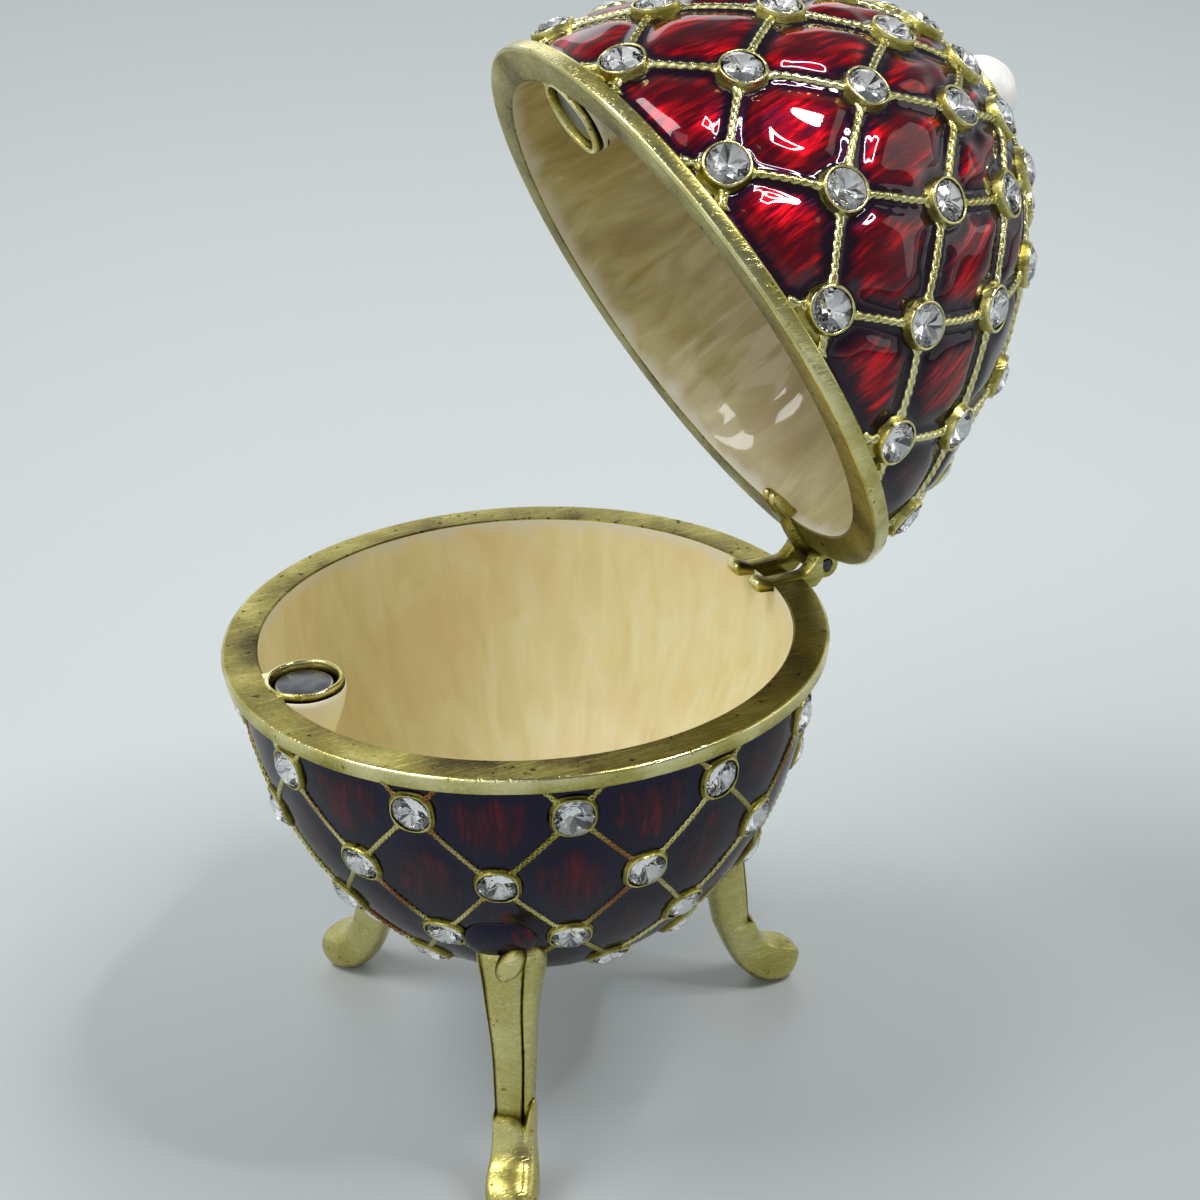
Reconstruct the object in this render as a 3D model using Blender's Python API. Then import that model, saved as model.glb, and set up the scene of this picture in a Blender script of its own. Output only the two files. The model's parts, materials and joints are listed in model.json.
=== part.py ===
"""Jewelled egg trinket box on three cabriole legs, with its lid hinged open.

Two cast and enamelled half eggs meet at flat gilt rims. A raised trellis of ropes crosses both,
with a faceted stone in a round collet at every crossing. The bowl stands on three legs cast
with it, the lid carries a pearl at its tip, and a three-knuckle hinge joins them at the back.
Sizes are in metres, +Z is up, the hinge is at +Y and the magnets that hold it shut are at -Y.
"""

import math

import bmesh
import bpy
import numpy as np
from mathutils import Matrix, Vector

MM = 0.001

# The two half eggs. Depths and heights are measured from each rim's flat face.
RIM_RADIUS = 26.0 * MM
OPENING_RADIUS = 22.9 * MM
WALL = 1.9 * MM
RIM_HEIGHT = 43.7 * MM
SHUT_GAP = 0.3 * MM
BAND = 1.5 * MM
BOWL_RADIUS, BOWL_DEPTH, BOWL_POWER = 24.7 * MM, 30.7 * MM, 2.0
LID_RADIUS, LID_DEPTH, LID_POWER = 24.8 * MM, 32.2 * MM, 1.8
RIM_SIDES = 48
INNER_SIDES = 30
INNER_RINGS = 6
PROFILE_SAMPLES = 601
NORMAL_STEP = 0.05 * MM

# The trellis: stones to a row, each row's depth from the rim, and the sizes of one crossing.
STONES = 12
PITCH = math.tau / STONES
BOWL_ROWS = (4.4 * MM, 11.4 * MM, 18.4 * MM, 24.2 * MM)
LID_ROWS = (3.9 * MM, 10.2 * MM, 17.4 * MM, 23.9 * MM, 28.6 * MM)
COLLET_RADIUS = 1.95 * MM
COLLET_TOP_RADIUS = 1.8 * MM
COLLET_HEIGHT = 0.8 * MM
TABLE_RADIUS = 0.85 * MM
TABLE_HEIGHT = 1.25 * MM
ROPE_WIDTH = 1.05 * MM
ROPE_HEIGHT = 0.55 * MM
PILLOW = 0.3 * MM
WIDEST_ARC = math.radians(75)

# The round plate under the bowl, and the collar and pearl at the lid's tip.
PLATE_RADIUS = 6.0 * MM
PLATE_DEPTH = 30.6 * MM
COLLAR_RADIUS = 4.3 * MM
COLLAR_HEIGHT = 33.1 * MM
SEAT_RADIUS = 3.55 * MM
SEAT_HEIGHT = 32.5 * MM
PEARL_RADIUS = 3.35 * MM
PEARL_SIDES = 16
PEARL_RINGS = 4
PEARL_TURN = math.radians(88)

# Each leg: (outer face, back face, width) down its length. A face is (distance from the
# egg's axis, depth below the rim), and the last value is how deep its two grooves are cut.
LEG_ANGLES = (math.radians(90), math.radians(210), math.radians(330))
LEG_SECTIONS = (
    ((18.9, 18.2), (14.4, 23.6), 6.6, 0.0),
    ((20.0, 19.8), (15.2, 25.2), 6.2, 0.0),
    ((20.3, 22.3), (16.0, 27.0), 5.2, 0.5),
    ((20.5, 25.5), (16.6, 28.6), 4.5, 1.0),
    ((20.7, 29.0), (17.0, 30.8), 4.1, 1.0),
    ((21.1, 32.4), (17.4, 33.4), 4.1, 1.0),
    ((21.4, 35.0), (17.9, 35.6), 4.2, 1.0),
    ((21.8, 35.8), (17.9, 36.4), 4.7, 0.0),
    ((22.4, 37.7), (18.9, 39.0), 4.6, 0.0),
    ((23.4, 38.8), (20.3, 41.6), 4.6, 0.0),
    ((24.7, 39.4), (22.2, 43.9), 4.6, 0.0),
    ((25.9, 40.0), (24.5, 44.2), 4.4, 0.0),
    ((26.7, 41.1), (26.2, 43.3), 3.0, 0.0),
)
# Half of a section's outline: (share of the half width, share of the depth from the outer face,
# share of the groove's depth).
LEG_OUTLINE = (
    (0.0, 0.0, 0.0),
    (0.5, 0.02, 0.0),
    (0.64, 0.05, 1.0),
    (0.78, 0.09, 0.0),
    (1.0, 0.38, 0.0),
    (0.93, 0.72, 0.0),
    (0.55, 0.96, 0.0),
    (0.0, 1.0, 0.0),
)
GROOVE_DEPTH = 0.4 * MM

# The hinge, in the bowl's frame: its axis runs along X. Each of the bowl's knuckles is on a
# finger over the rim, whose side outline is (distance from the bowl's axis, height from the rim).
HINGE_Y = 28.1 * MM
HINGE_Z = RIM_HEIGHT + 0.7 * MM
KNUCKLE_RADIUS = 1.3 * MM
BORE_RADIUS = 0.6 * MM
PIN_RADIUS = 0.5 * MM
PIN_HEAD_RADIUS = 0.85 * MM
PIN_HEAD = 0.35 * MM
PIN_HEAD_END_RADIUS = 0.6 * MM
KNUCKLE_INNER_END = 1.05 * MM
KNUCKLE_OUTER_END = 2.75 * MM
LID_KNUCKLE_END = 0.9 * MM
KNUCKLE_SIDES = 12
ARM_CENTRE = 1.95 * MM
ARM_WIDTH = 1.5 * MM
ARM_THICK = 1.2 * MM
ARM_SINK = 0.15 * MM
SLOT_INNER_END = 20.0 * MM
FINGER = tuple(
    (y * MM, z * MM)
    for y, z in (
        (28.1, -0.15),
        (22.4, -0.15),
        (21.6, -0.45),
        (21.3, -1.2),
        (21.4, -2.2),
        (21.9, -2.4),
        (22.2, -2.1),
        (22.2, -1.35),
        (28.1, -1.35),
    )
)
FORK_START = 22.5 * MM
FORK_END = (2.2 * MM, 20.9 * MM)
FIT = 0.2 * MM
OPEN_ANGLE = math.radians(62.75)

# The magnets and the thin cups that hold them inside each rim.
MAGNET_RADIUS = 2.6 * MM
MAGNET_THICK = 1.4 * MM
CUP_RADIUS = 3.3 * MM
CUP_TOP = 0.25 * MM
CUP_BOTTOM = 2.6 * MM
CUP_Y = -20.0 * MM
CUP_SIDES = 20
MAGNET_SINK = 0.15 * MM

# The bowl's axis stands in front of the origin, which is under the middle of the open box.
BOWL_AXIS_Y = -10.63 * MM

GILT = (0.36, 0.31, 0.10)
STEEL = (0.18, 0.18, 0.19)
PEARL_WHITE = (0.88, 0.87, 0.83)
WINE = (0.22, 0.01, 0.03)


class Profile:
    """One side of a half egg: a superellipse, read by the length of arc from the rim."""

    def __init__(self, radius, depth, power):
        self.power = power
        turn = np.linspace(0.0, math.pi / 2, PROFILE_SAMPLES)
        self.rho = radius * np.cos(turn) ** (2 / power)
        self.rho[-1] = 0.0
        self.depth = depth * np.sin(turn) ** (2 / power)
        steps = np.hypot(np.diff(self.rho), np.diff(self.depth))
        self.arc = np.concatenate([[0.0], np.cumsum(steps)])

    def arc_at_depth(self, depth):
        return float(np.interp(depth, self.depth, self.arc))

    def arc_at_radius(self, rho):
        return float(np.interp(rho, self.rho[::-1], self.arc[::-1]))

    def radius_at(self, arc):
        return float(np.interp(arc, self.arc, self.rho))

    def point(self, angle, arc, out=0.0):
        """The point at this polar angle and arc, moved out along the surface's normal."""
        rho, depth = (float(np.interp(arc, self.arc, v)) for v in (self.rho, self.depth))
        ahead, behind = min(arc + NORMAL_STEP, self.arc[-1]), arc - NORMAL_STEP
        d_rho = np.interp(ahead, self.arc, self.rho) - np.interp(behind, self.arc, self.rho)
        d_depth = np.interp(ahead, self.arc, self.depth) - np.interp(behind, self.arc, self.depth)
        length = math.hypot(d_rho, d_depth)
        rho += out * d_depth / length
        depth -= out * d_rho / length
        return Vector((rho * math.cos(angle), rho * math.sin(angle), depth))


def ring(bm, angles, rho, depth):
    """One vertex at each polar angle, on a level circle."""
    return [bm.verts.new((rho * math.cos(a), rho * math.sin(a), depth)) for a in angles]


def even_angles(count):
    return [math.tau * i / count for i in range(count)]


def bridge(bm, first, second):
    """Quads between two closed rings of the same count."""
    for i, vert in enumerate(first):
        j = (i + 1) % len(first)
        bm.faces.new((vert, first[j], second[j], second[i]))


def bridge_uneven(bm, first, second):
    """Triangles between two closed level rings of different counts, matched by polar angle."""

    def angle(vert):
        return math.atan2(vert.co.y, vert.co.x) % math.tau

    first, second = sorted(first, key=angle), sorted(second, key=angle)
    i = j = 0
    while i < len(first) or j < len(second):
        a, b = first[i % len(first)], second[j % len(second)]
        next_a, next_b = first[(i + 1) % len(first)], second[(j + 1) % len(second)]
        turn_a = angle(next_a) + (math.tau if i + 1 >= len(first) else 0)
        turn_b = angle(next_b) + (math.tau if j + 1 >= len(second) else 0)
        if j >= len(second) or (i < len(first) and turn_a <= turn_b):
            bm.faces.new((a, next_a, b))
            i += 1
        else:
            bm.faces.new((a, next_b, b))
            j += 1


def fan(bm, border, centre):
    middle = bm.verts.new(centre)
    for i, vert in enumerate(border):
        bm.faces.new((vert, border[(i + 1) % len(border)], middle))


def add_stone(bm, girdle, at):
    """A stone's crown: four kite facets and four corners, up to a square table."""
    table = [at(math.tau * (n + 0.5) / 4, TABLE_RADIUS, TABLE_HEIGHT) for n in range(4)]
    bm.faces.new(table)
    near = [min(table, key=lambda vert: (vert.co - edge.co).length) for edge in girdle]
    for i, vert in enumerate(girdle):
        j = (i + 1) % len(girdle)
        corners = [vert, girdle[j], near[j]]
        bm.faces.new(corners if near[i] is near[j] else [*corners, near[i]])


def crossing(bm, profile, angle, arc, rope_angles, stone):
    """One crossing of the trellis: a collet with its stone, or a plain patch under a leg.

    rope_angles are the ropes' directions in the surface, in turn order, 0 along the row and
    90 degrees away from the rim. It returns (sides, gaps): sides[k] is rope k's end here as
    (first foot, ridge, last foot), and gaps[k] the foot vertices from rope k to rope k + 1.
    """
    rho = profile.radius_at(arc)
    half = math.asin(ROPE_WIDTH / 2 / COLLET_RADIUS)

    def at(direction, radius, out):
        across, along = radius * math.cos(direction), radius * math.sin(direction)
        return bm.verts.new(profile.point(angle + across / rho, arc + along, out))

    sides, gaps, foot = [], [], []
    for k, rope in enumerate(rope_angles):
        ahead = rope_angles[(k + 1) % len(rope_angles)]
        ahead += math.tau if ahead <= rope else 0
        flat = COLLET_RADIUS * math.cos(half)
        ends = [at(rope + turn, COLLET_RADIUS, 0) for turn in (-half, half)]
        sides.append((ends[0], at(rope, flat, ROPE_HEIGHT), ends[1]))
        space = ahead - rope - 2 * half
        extra = int(space // WIDEST_ARC)
        between = [rope + half + space * (n + 1) / (extra + 1) for n in range(extra)]
        middles = [at(direction, COLLET_RADIUS, 0) for direction in between]
        directions = [rope - half, rope + half, *between]
        foot += list(zip([*ends, *middles], directions, [k, None, *[None] * extra]))
        gaps.append([ends[1], *middles])
    for k, gap in enumerate(gaps):
        gap.append(sides[(k + 1) % len(sides)][0])

    top = []
    if stone:
        top = [at(direction, COLLET_TOP_RADIUS, COLLET_HEIGHT) for _, direction, _ in foot]
        add_stone(bm, top, at)
    else:
        bm.faces.new([vert for vert, _, _ in foot])
    for i, (vert, _, rope) in enumerate(foot):
        j = (i + 1) % len(foot)
        ridge = [sides[rope][1]] if rope is not None else []
        if stone:
            bm.faces.new((vert, *ridge, foot[j][0], top[j], top[i]))
        elif ridge:
            bm.faces.new((vert, *ridge, foot[j][0]))
    return sides, gaps


def rope(bm, near, far):
    """A rope's two slopes, from one crossing's side to another's."""
    bm.faces.new((near[0], near[1], far[1], far[2]))
    bm.faces.new((near[1], near[2], far[0], far[1]))


def trellis(bm, profile, depths, plain_angles, apex_radius):
    """The outside of a half egg, from its band to the ring round its tip.

    It returns the ring under the band and the ring round the tip, both in turn order. Rows
    are staggered by half a pitch, and a rope joins each crossing to its four neighbours.
    """
    arcs = [profile.arc_at_depth(depth) for depth in depths]
    band_arc = profile.arc_at_depth(BAND)
    apex_arc = profile.arc_at_radius(apex_radius)
    last = len(arcs) - 1

    def slope(low, high):
        width = PITCH / 2 * profile.radius_at((low + high) / 2)
        return math.atan2(high - low, width)

    def turn_of(row, k):
        return (k % STONES + (0.5 if row % 2 == 0 else 0.0)) * PITCH

    rows = []
    virtual_arc = 2 * arcs[0] - arcs[1]
    for row, arc in enumerate(arcs):
        up = slope(arcs[row - 1] if row else virtual_arc, arc)
        down = slope(arc, arcs[row + 1]) if row < last else None
        lower = [math.pi / 2] if down is None else [down, math.pi - down]
        directions = [*lower, math.pi + up, math.tau - up]
        made = []
        for k in range(STONES):
            turn = turn_of(row, k)
            bare = row == last and any(abs(turn - plain) < PITCH / 4 for plain in plain_angles)
            made.append(crossing(bm, profile, turn, arc, directions, not bare))
        rows.append(made)

    # The ring under the band: each first-row crossing sends two ropes up to it.
    band_rho = profile.radius_at(band_arc)
    reach = PITCH / 2 * (arcs[0] - band_arc) / (arcs[0] - virtual_arc)
    half = ROPE_WIDTH / 2 / band_rho / math.sin(slope(virtual_arc, arcs[0]))
    under_band = []
    for k in range(STONES):
        turn = turn_of(0, k)
        feet = []
        for centre in (turn - reach, turn + reach):
            for offset, proud in ((-half, 0), (0, ROPE_HEIGHT), (half, 0)):
                feet += ring(bm, [centre + offset], band_rho + proud, BAND)
            feet += ring(bm, [turn if centre < turn else turn + PITCH / 2], band_rho, BAND)
        under_band.append(feet)
        sides, gaps = rows[0][k]
        rope(bm, sides[-2], (feet[2], feet[1], feet[0]))
        rope(bm, sides[-1], (feet[6], feet[5], feet[4]))
        above = profile.point(turn, (band_arc + arcs[0] - COLLET_RADIUS) / 2, 0)
        fan(bm, [*feet[2:5], *reversed(gaps[-2])], above)

    # The ring round the tip: one straight rope from each crossing of the last row.
    half = ROPE_WIDTH / 2 / apex_radius
    tip_ring = []
    for k in range(STONES):
        turn = turn_of(last, k)
        feet = ring(bm, [turn - half], apex_radius, profile.point(0, apex_arc).z)
        ridge = profile.point(turn, apex_arc, ROPE_HEIGHT)
        feet += ring(bm, [turn], apex_radius, ridge.z)
        feet += ring(bm, [turn + half, turn + PITCH / 2], apex_radius, feet[0].co.z)
        tip_ring.append(feet)
        rope(bm, rows[last][k][0][0], feet[:3])

    def neighbours(row, k):
        """The crossings to the lower left and lower right of this one, in the next row."""
        return (k, k + 1) if row % 2 == 0 else (k - 1, k)

    for row in range(last):
        for k in range(STONES):
            left, right = (n % STONES for n in neighbours(row, k))
            sides = rows[row][k][0]
            rope(bm, sides[0], rows[row + 1][right][0][-2])
            rope(bm, sides[1], rows[row + 1][left][0][-1])

    def cell(top, right, bottom, left, turn, arc):
        border = [*top, *reversed(right[1][-3]), *bottom, *reversed(left[1][-1])]
        fan(bm, border, profile.point(turn, arc, PILLOW))

    for k in range(STONES):
        right = (k + 1) % STONES
        top = [*under_band[k][6:], under_band[right][0]]
        bottom = reversed(rows[1][right][1][-2])
        middle = (band_arc + arcs[1] - COLLET_RADIUS) / 2
        cell(top, rows[0][right], bottom, rows[0][k], turn_of(0, k) + PITCH / 2, middle)
    for row in range(last):
        for k in range(STONES):
            left, right = (n % STONES for n in neighbours(row, k))
            top = list(reversed(rows[row][k][1][0]))
            turn = turn_of(row, k)
            if row + 2 <= last:
                bottom = reversed(rows[row + 2][k][1][-2])
                middle = (arcs[row] + arcs[row + 2]) / 2
            else:
                bottom = [tip_ring[right][0], *reversed(tip_ring[left][2:])]
                middle = (arcs[row] + COLLET_RADIUS + apex_arc) / 2
            cell(top, rows[row + 1][right], bottom, rows[row + 1][left], turn, middle)
    return sum(under_band, []), sum(tip_ring, [])


def half_egg(profile, depths, plain_angles, apex_radius, close_tip):
    """A hollow half egg with its rim at zero and its tip at +Z, as a closed mesh."""
    bm = bmesh.new()
    under_band, tip_ring = trellis(bm, profile, depths, plain_angles, apex_radius)
    close_tip(bm, tip_ring)
    band_low = ring(bm, even_angles(RIM_SIDES), RIM_RADIUS, BAND)
    band_high = ring(bm, even_angles(RIM_SIDES), RIM_RADIUS, 0)
    bridge_uneven(bm, under_band, band_low)
    bridge(bm, band_low, band_high)
    inside = Profile(OPENING_RADIUS, profile.depth[-1] - WALL, profile.power)
    steps = [inside.arc[-1] * i / INNER_RINGS for i in range(INNER_RINGS)]
    turns = even_angles(INNER_SIDES)
    inner = [[bm.verts.new(inside.point(turn, arc)) for turn in turns] for arc in steps[1:]]
    inner.insert(0, ring(bm, turns, OPENING_RADIUS, 0))
    bridge_uneven(bm, band_high, inner[0])
    for near, far in zip(inner, inner[1:]):
        bridge(bm, near, far)
    fan(bm, inner[-1], (0, 0, inside.depth[-1]))
    return bm


def ring_angles(verts):
    return [math.atan2(vert.co.y, vert.co.x) for vert in verts]


def close_with_plate(bm, tip_ring):
    """The bowl's tip: a low round plate, flat underneath."""
    plate = ring(bm, ring_angles(tip_ring), PLATE_RADIUS, PLATE_DEPTH)
    bridge(bm, tip_ring, plate)
    bm.faces.new(plate)


def close_with_collar(bm, tip_ring):
    """The lid's tip: a collar with a flat seat sunk in it for the pearl."""
    angles = ring_angles(tip_ring)
    collar = ring(bm, angles, COLLAR_RADIUS, COLLAR_HEIGHT)
    lip = ring(bm, angles, SEAT_RADIUS, COLLAR_HEIGHT)
    seat = ring(bm, angles, SEAT_RADIUS, SEAT_HEIGHT)
    bridge(bm, tip_ring, collar)
    bridge(bm, collar, lip)
    bridge(bm, lip, seat)
    bm.faces.new(seat)


def leg(angle):
    """One leg in the bowl's frame, closed at both ends and cut flat where it stands."""
    bm = bmesh.new()
    outline = [(1, *point) for point in LEG_OUTLINE]
    outline += [(-1, *point) for point in reversed(LEG_OUTLINE[1:-1])]
    rings = []
    for (out_rho, out_depth), (in_rho, in_depth), width, groove in LEG_SECTIONS:
        outer = Vector((out_rho, 0, -out_depth)) * MM
        inner = Vector((in_rho, 0, -in_depth)) * MM
        inward = (inner - outer).normalized()
        loop = []
        for side, across, deep, cut in outline:
            place = outer.lerp(inner, deep) + inward * cut * groove * GROOVE_DEPTH
            place.y = side * across * width / 2 * MM
            loop.append(bm.verts.new(place))
        rings.append(loop)
    for near, far in zip(rings, rings[1:]):
        bridge(bm, near, far)
    bm.faces.new(rings[0])
    bm.faces.new(rings[-1])
    move = Matrix.Translation((0, 0, RIM_HEIGHT)) @ Matrix.Rotation(angle, 4, "Z")
    bmesh.ops.transform(bm, matrix=move, verts=bm.verts)
    geometry = bm.verts[:] + bm.edges[:] + bm.faces[:]
    cut = bmesh.ops.bisect_plane(
        bm, geom=geometry, plane_co=(0, 0, 0), plane_no=(0, 0, -1), clear_outer=True
    )
    edges = [item for item in cut["geom_cut"] if isinstance(item, bmesh.types.BMEdge)]
    bmesh.ops.edgeloop_fill(bm, edges=edges)
    return bm


def turned(outline, sides):
    """A closed round body about Z from (radius, height) points, both ends on the axis or flat."""
    bm = bmesh.new()
    angles = even_angles(sides)
    rings = [ring(bm, angles, radius, height) for radius, height in outline]
    for near, far in zip(rings, rings[1:]):
        bridge(bm, near, far)
    bm.faces.new(rings[0])
    bm.faces.new(rings[-1])
    return bm


def tube(start, end, outer, inner, sides):
    """A closed pipe along X."""
    bm = bmesh.new()
    angles = even_angles(sides)
    outline = ((outer, start), (outer, end), (inner, end), (inner, start))
    rings = [ring(bm, angles, radius, height) for radius, height in outline]
    for near, far in zip(rings, rings[1:] + rings[:1]):
        bridge(bm, near, far)
    bmesh.ops.rotate(bm, matrix=Matrix.Rotation(math.pi / 2, 3, "Y"), verts=bm.verts)
    return bm


def block(low, high):
    bm = bmesh.new()
    bmesh.ops.create_cube(bm, size=1.0)
    size = Vector(high) - Vector(low)
    middle = (Vector(high) + Vector(low)) / 2
    move = Matrix.Translation(middle) @ Matrix.Diagonal((*size, 1.0))
    bmesh.ops.transform(bm, matrix=move, verts=bm.verts)
    return bm


def slab(outline, low, high):
    """A flat plate: an outline in X and Y, given height."""
    bm = bmesh.new()
    face = bm.faces.new([bm.verts.new((x, y, low)) for x, y in outline])
    raised = bmesh.ops.extrude_face_region(bm, geom=[face])["geom"]
    verts = [item for item in raised if isinstance(item, bmesh.types.BMVert)]
    bmesh.ops.translate(bm, vec=(0, 0, high - low), verts=verts)
    return bm


def material(name, colour, roughness, metallic):
    made = bpy.data.materials.new(name)
    made.use_nodes = True
    shader = made.node_tree.nodes["Principled BSDF"]
    shader.inputs["Base Color"].default_value = (*colour, 1.0)
    shader.inputs["Roughness"].default_value = roughness
    shader.inputs["Metallic"].default_value = metallic
    made.diffuse_color = (*colour, 1.0)
    return made


def add(name, bm, parent, finish=None, place=(0, 0, 0)):
    """An object from a closed bmesh. With no finish it is a helper that only shapes others."""
    bmesh.ops.recalc_face_normals(bm, faces=bm.faces)
    mesh = bpy.data.meshes.new(name)
    bm.to_mesh(mesh)
    bm.free()
    made = bpy.data.objects.new(name, mesh)
    bpy.context.scene.collection.objects.link(made)
    made.parent = parent
    made.location = place
    if finish is None:
        made.hide_render = True
        made.display_type = "WIRE"
    else:
        mesh.materials.append(finish)
    return made


def combine(target, operation, helpers):
    for helper in helpers:
        modifier = target.modifiers.new(helper.name, "BOOLEAN")
        modifier.operation = operation
        modifier.object = helper


def empty(name, parent=None, place=(0, 0, 0)):
    made = bpy.data.objects.new(name, None)
    bpy.context.scene.collection.objects.link(made)
    made.parent = parent
    made.location = place
    return made


def moved(bm, matrix):
    bmesh.ops.transform(bm, matrix=matrix, verts=bm.verts)
    return bm


for old in list(bpy.data.objects):
    bpy.data.objects.remove(old, do_unlink=True)

gilt = material("gilt_metal", GILT, 0.35, 1.0)
enamel = material("wine_enamel", WINE, 0.15, 0.0)
steel = material("magnet_steel", STEEL, 0.35, 1.0)
pearl_white = material("pearl", PEARL_WHITE, 0.25, 0.0)

# Two frames: the bowl's, on its axis where the box stands, and the lid's, on the hinge's axis.
# Both hold their pieces as they are with the lid shut, and the lid's frame then swings open.
stand = empty("bowl_axis", None, (0, BOWL_AXIS_Y, 0))
swing = empty("lid_hinge_axis", stand, (0, HINGE_Y, HINGE_Z))
swing.rotation_euler.x = -OPEN_ANGLE
to_swing = Matrix.Translation((0, -HINGE_Y, -HINGE_Z))
bowl_upside_down = Matrix.Translation((0, 0, RIM_HEIGHT)) @ Matrix.Diagonal((1, 1, -1, 1))
lid_shut = to_swing @ Matrix.Translation((0, 0, RIM_HEIGHT + SHUT_GAP))

# The bowl with its legs, magnet cup and the two slots that its hinge arms lie in.
bowl_profile = Profile(BOWL_RADIUS, BOWL_DEPTH, BOWL_POWER)
bowl_shape = half_egg(bowl_profile, BOWL_ROWS, LEG_ANGLES, PLATE_RADIUS, close_with_plate)
bowl = add("bowl", moved(bowl_shape, bowl_upside_down), stand, enamel)
legs = [add(f"leg_{i}", leg(angle), stand) for i, angle in enumerate(LEG_ANGLES)]
cup_outline = ((CUP_RADIUS, CUP_TOP), (CUP_RADIUS, CUP_BOTTOM))
magnet_top = CUP_TOP + MAGNET_SINK
magnet_outline = ((MAGNET_RADIUS, magnet_top), (MAGNET_RADIUS, magnet_top + MAGNET_THICK))
recess_radius = MAGNET_RADIUS + FIT
recess_outline = ((recess_radius, -BAND), (recess_radius, magnet_top + MAGNET_THICK + FIT))
bowl_cup_place = bowl_upside_down @ Matrix.Translation((0, CUP_Y, 0))
lid_cup_place = lid_shut @ Matrix.Translation((0, CUP_Y, 0))
bowl_cup = add("bowl_cup", moved(turned(cup_outline, CUP_SIDES), bowl_cup_place), stand)
bowl_recess = add("bowl_recess", moved(turned(recess_outline, CUP_SIDES), bowl_cup_place), stand)
slot_floor = ARM_SINK + ARM_THICK + FIT
slots = []
for side in (-1, 1):
    left, right = sorted(side * (ARM_CENTRE + edge * (ARM_WIDTH / 2 + FIT)) for edge in (-1, 1))
    low = (left, SLOT_INNER_END, RIM_HEIGHT - slot_floor)
    slots.append(add(f"slot_{side}", block(low, (right, HINGE_Y, RIM_HEIGHT + BAND)), stand))
combine(bowl, "UNION", [*legs, bowl_cup])
combine(bowl, "DIFFERENCE", [bowl_recess, *slots])

# The lid with its pearl collar, magnet cup and the one slot for its forked hinge arm.
lid_profile = Profile(LID_RADIUS, LID_DEPTH, LID_POWER)
lid_shape = half_egg(lid_profile, LID_ROWS, (), COLLAR_RADIUS, close_with_collar)
lid = add("lid", moved(lid_shape, lid_shut), swing, enamel)
lid_cup = add("lid_cup", moved(turned(cup_outline, CUP_SIDES), lid_cup_place), swing)
lid_recess = add("lid_recess", moved(turned(recess_outline, CUP_SIDES), lid_cup_place), swing)
slot_half = LID_KNUCKLE_END - ARM_SINK + FIT
lid_slot_shape = block((-slot_half, SLOT_INNER_END, -BAND), (slot_half, HINGE_Y, slot_floor))
lid_slot = add("lid_slot", moved(lid_slot_shape, lid_shut), swing)
combine(lid, "UNION", [lid_cup])
combine(lid, "DIFFERENCE", [lid_recess, lid_slot])

# The two magnets and the pearl.
add("bowl_magnet", moved(turned(magnet_outline, CUP_SIDES), bowl_cup_place), stand, steel)
add("lid_magnet", moved(turned(magnet_outline, CUP_SIDES), lid_cup_place), swing, steel)
pearl_outline = [
    (PEARL_RADIUS * math.cos(turn), SEAT_HEIGHT + FIT + PEARL_RADIUS * math.sin(turn))
    for turn in (PEARL_TURN * i / PEARL_RINGS for i in range(PEARL_RINGS + 1))
]
add("pearl", moved(turned(pearl_outline, PEARL_SIDES), lid_shut), swing, pearl_white)

# The bowl's two knuckles, each on a finger that lies in its slot and hooks down inside.
along_x = Matrix(((0, 0, 1, 0), (1, 0, 0, 0), (0, 1, 0, RIM_HEIGHT), (0, 0, 0, 1)))
at_hinge = Matrix.Translation((0, HINGE_Y, HINGE_Z))
for side, name in ((-1, "left"), (1, "right")):
    left, right = sorted(side * (ARM_CENTRE + edge * ARM_WIDTH / 2) for edge in (-1, 1))
    finger = add(f"bowl_knuckle_{name}", moved(slab(FINGER, left, right), along_x), stand, gilt)
    start, end = sorted((side * KNUCKLE_INNER_END, side * KNUCKLE_OUTER_END))
    barrel = moved(tube(start, end, KNUCKLE_RADIUS, BORE_RADIUS, KNUCKLE_SIDES), at_hinge)
    combine(finger, "UNION", [add(f"barrel_{name}", barrel, stand)])

# The lid's hinge leaf: one arm from the middle knuckle, forked where it ends inside the lid.
arm_half = LID_KNUCKLE_END - ARM_SINK
fork_x, fork_y = FORK_END
prong = ARM_WIDTH / 3
fork = [
    (arm_half, HINGE_Y - BORE_RADIUS - FIT),
    (arm_half, FORK_START),
    (fork_x + prong, fork_y + prong),
    (fork_x - prong, fork_y - prong),
    (0, FORK_START - 2 * prong),
]
fork += [(-x, y) for x, y in reversed(fork[:-1])]
leaf_low = RIM_HEIGHT + SHUT_GAP + ARM_SINK
lid_leaf_shape = moved(slab(fork, leaf_low, leaf_low + ARM_THICK), to_swing)
lid_leaf = add("lid_hinge_leaf", lid_leaf_shape, swing, gilt)
lid_knuckle = tube(-LID_KNUCKLE_END, LID_KNUCKLE_END, KNUCKLE_RADIUS, BORE_RADIUS, KNUCKLE_SIDES)
combine(lid_leaf, "UNION", [add("lid_knuckle", lid_knuckle, swing)])

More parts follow.
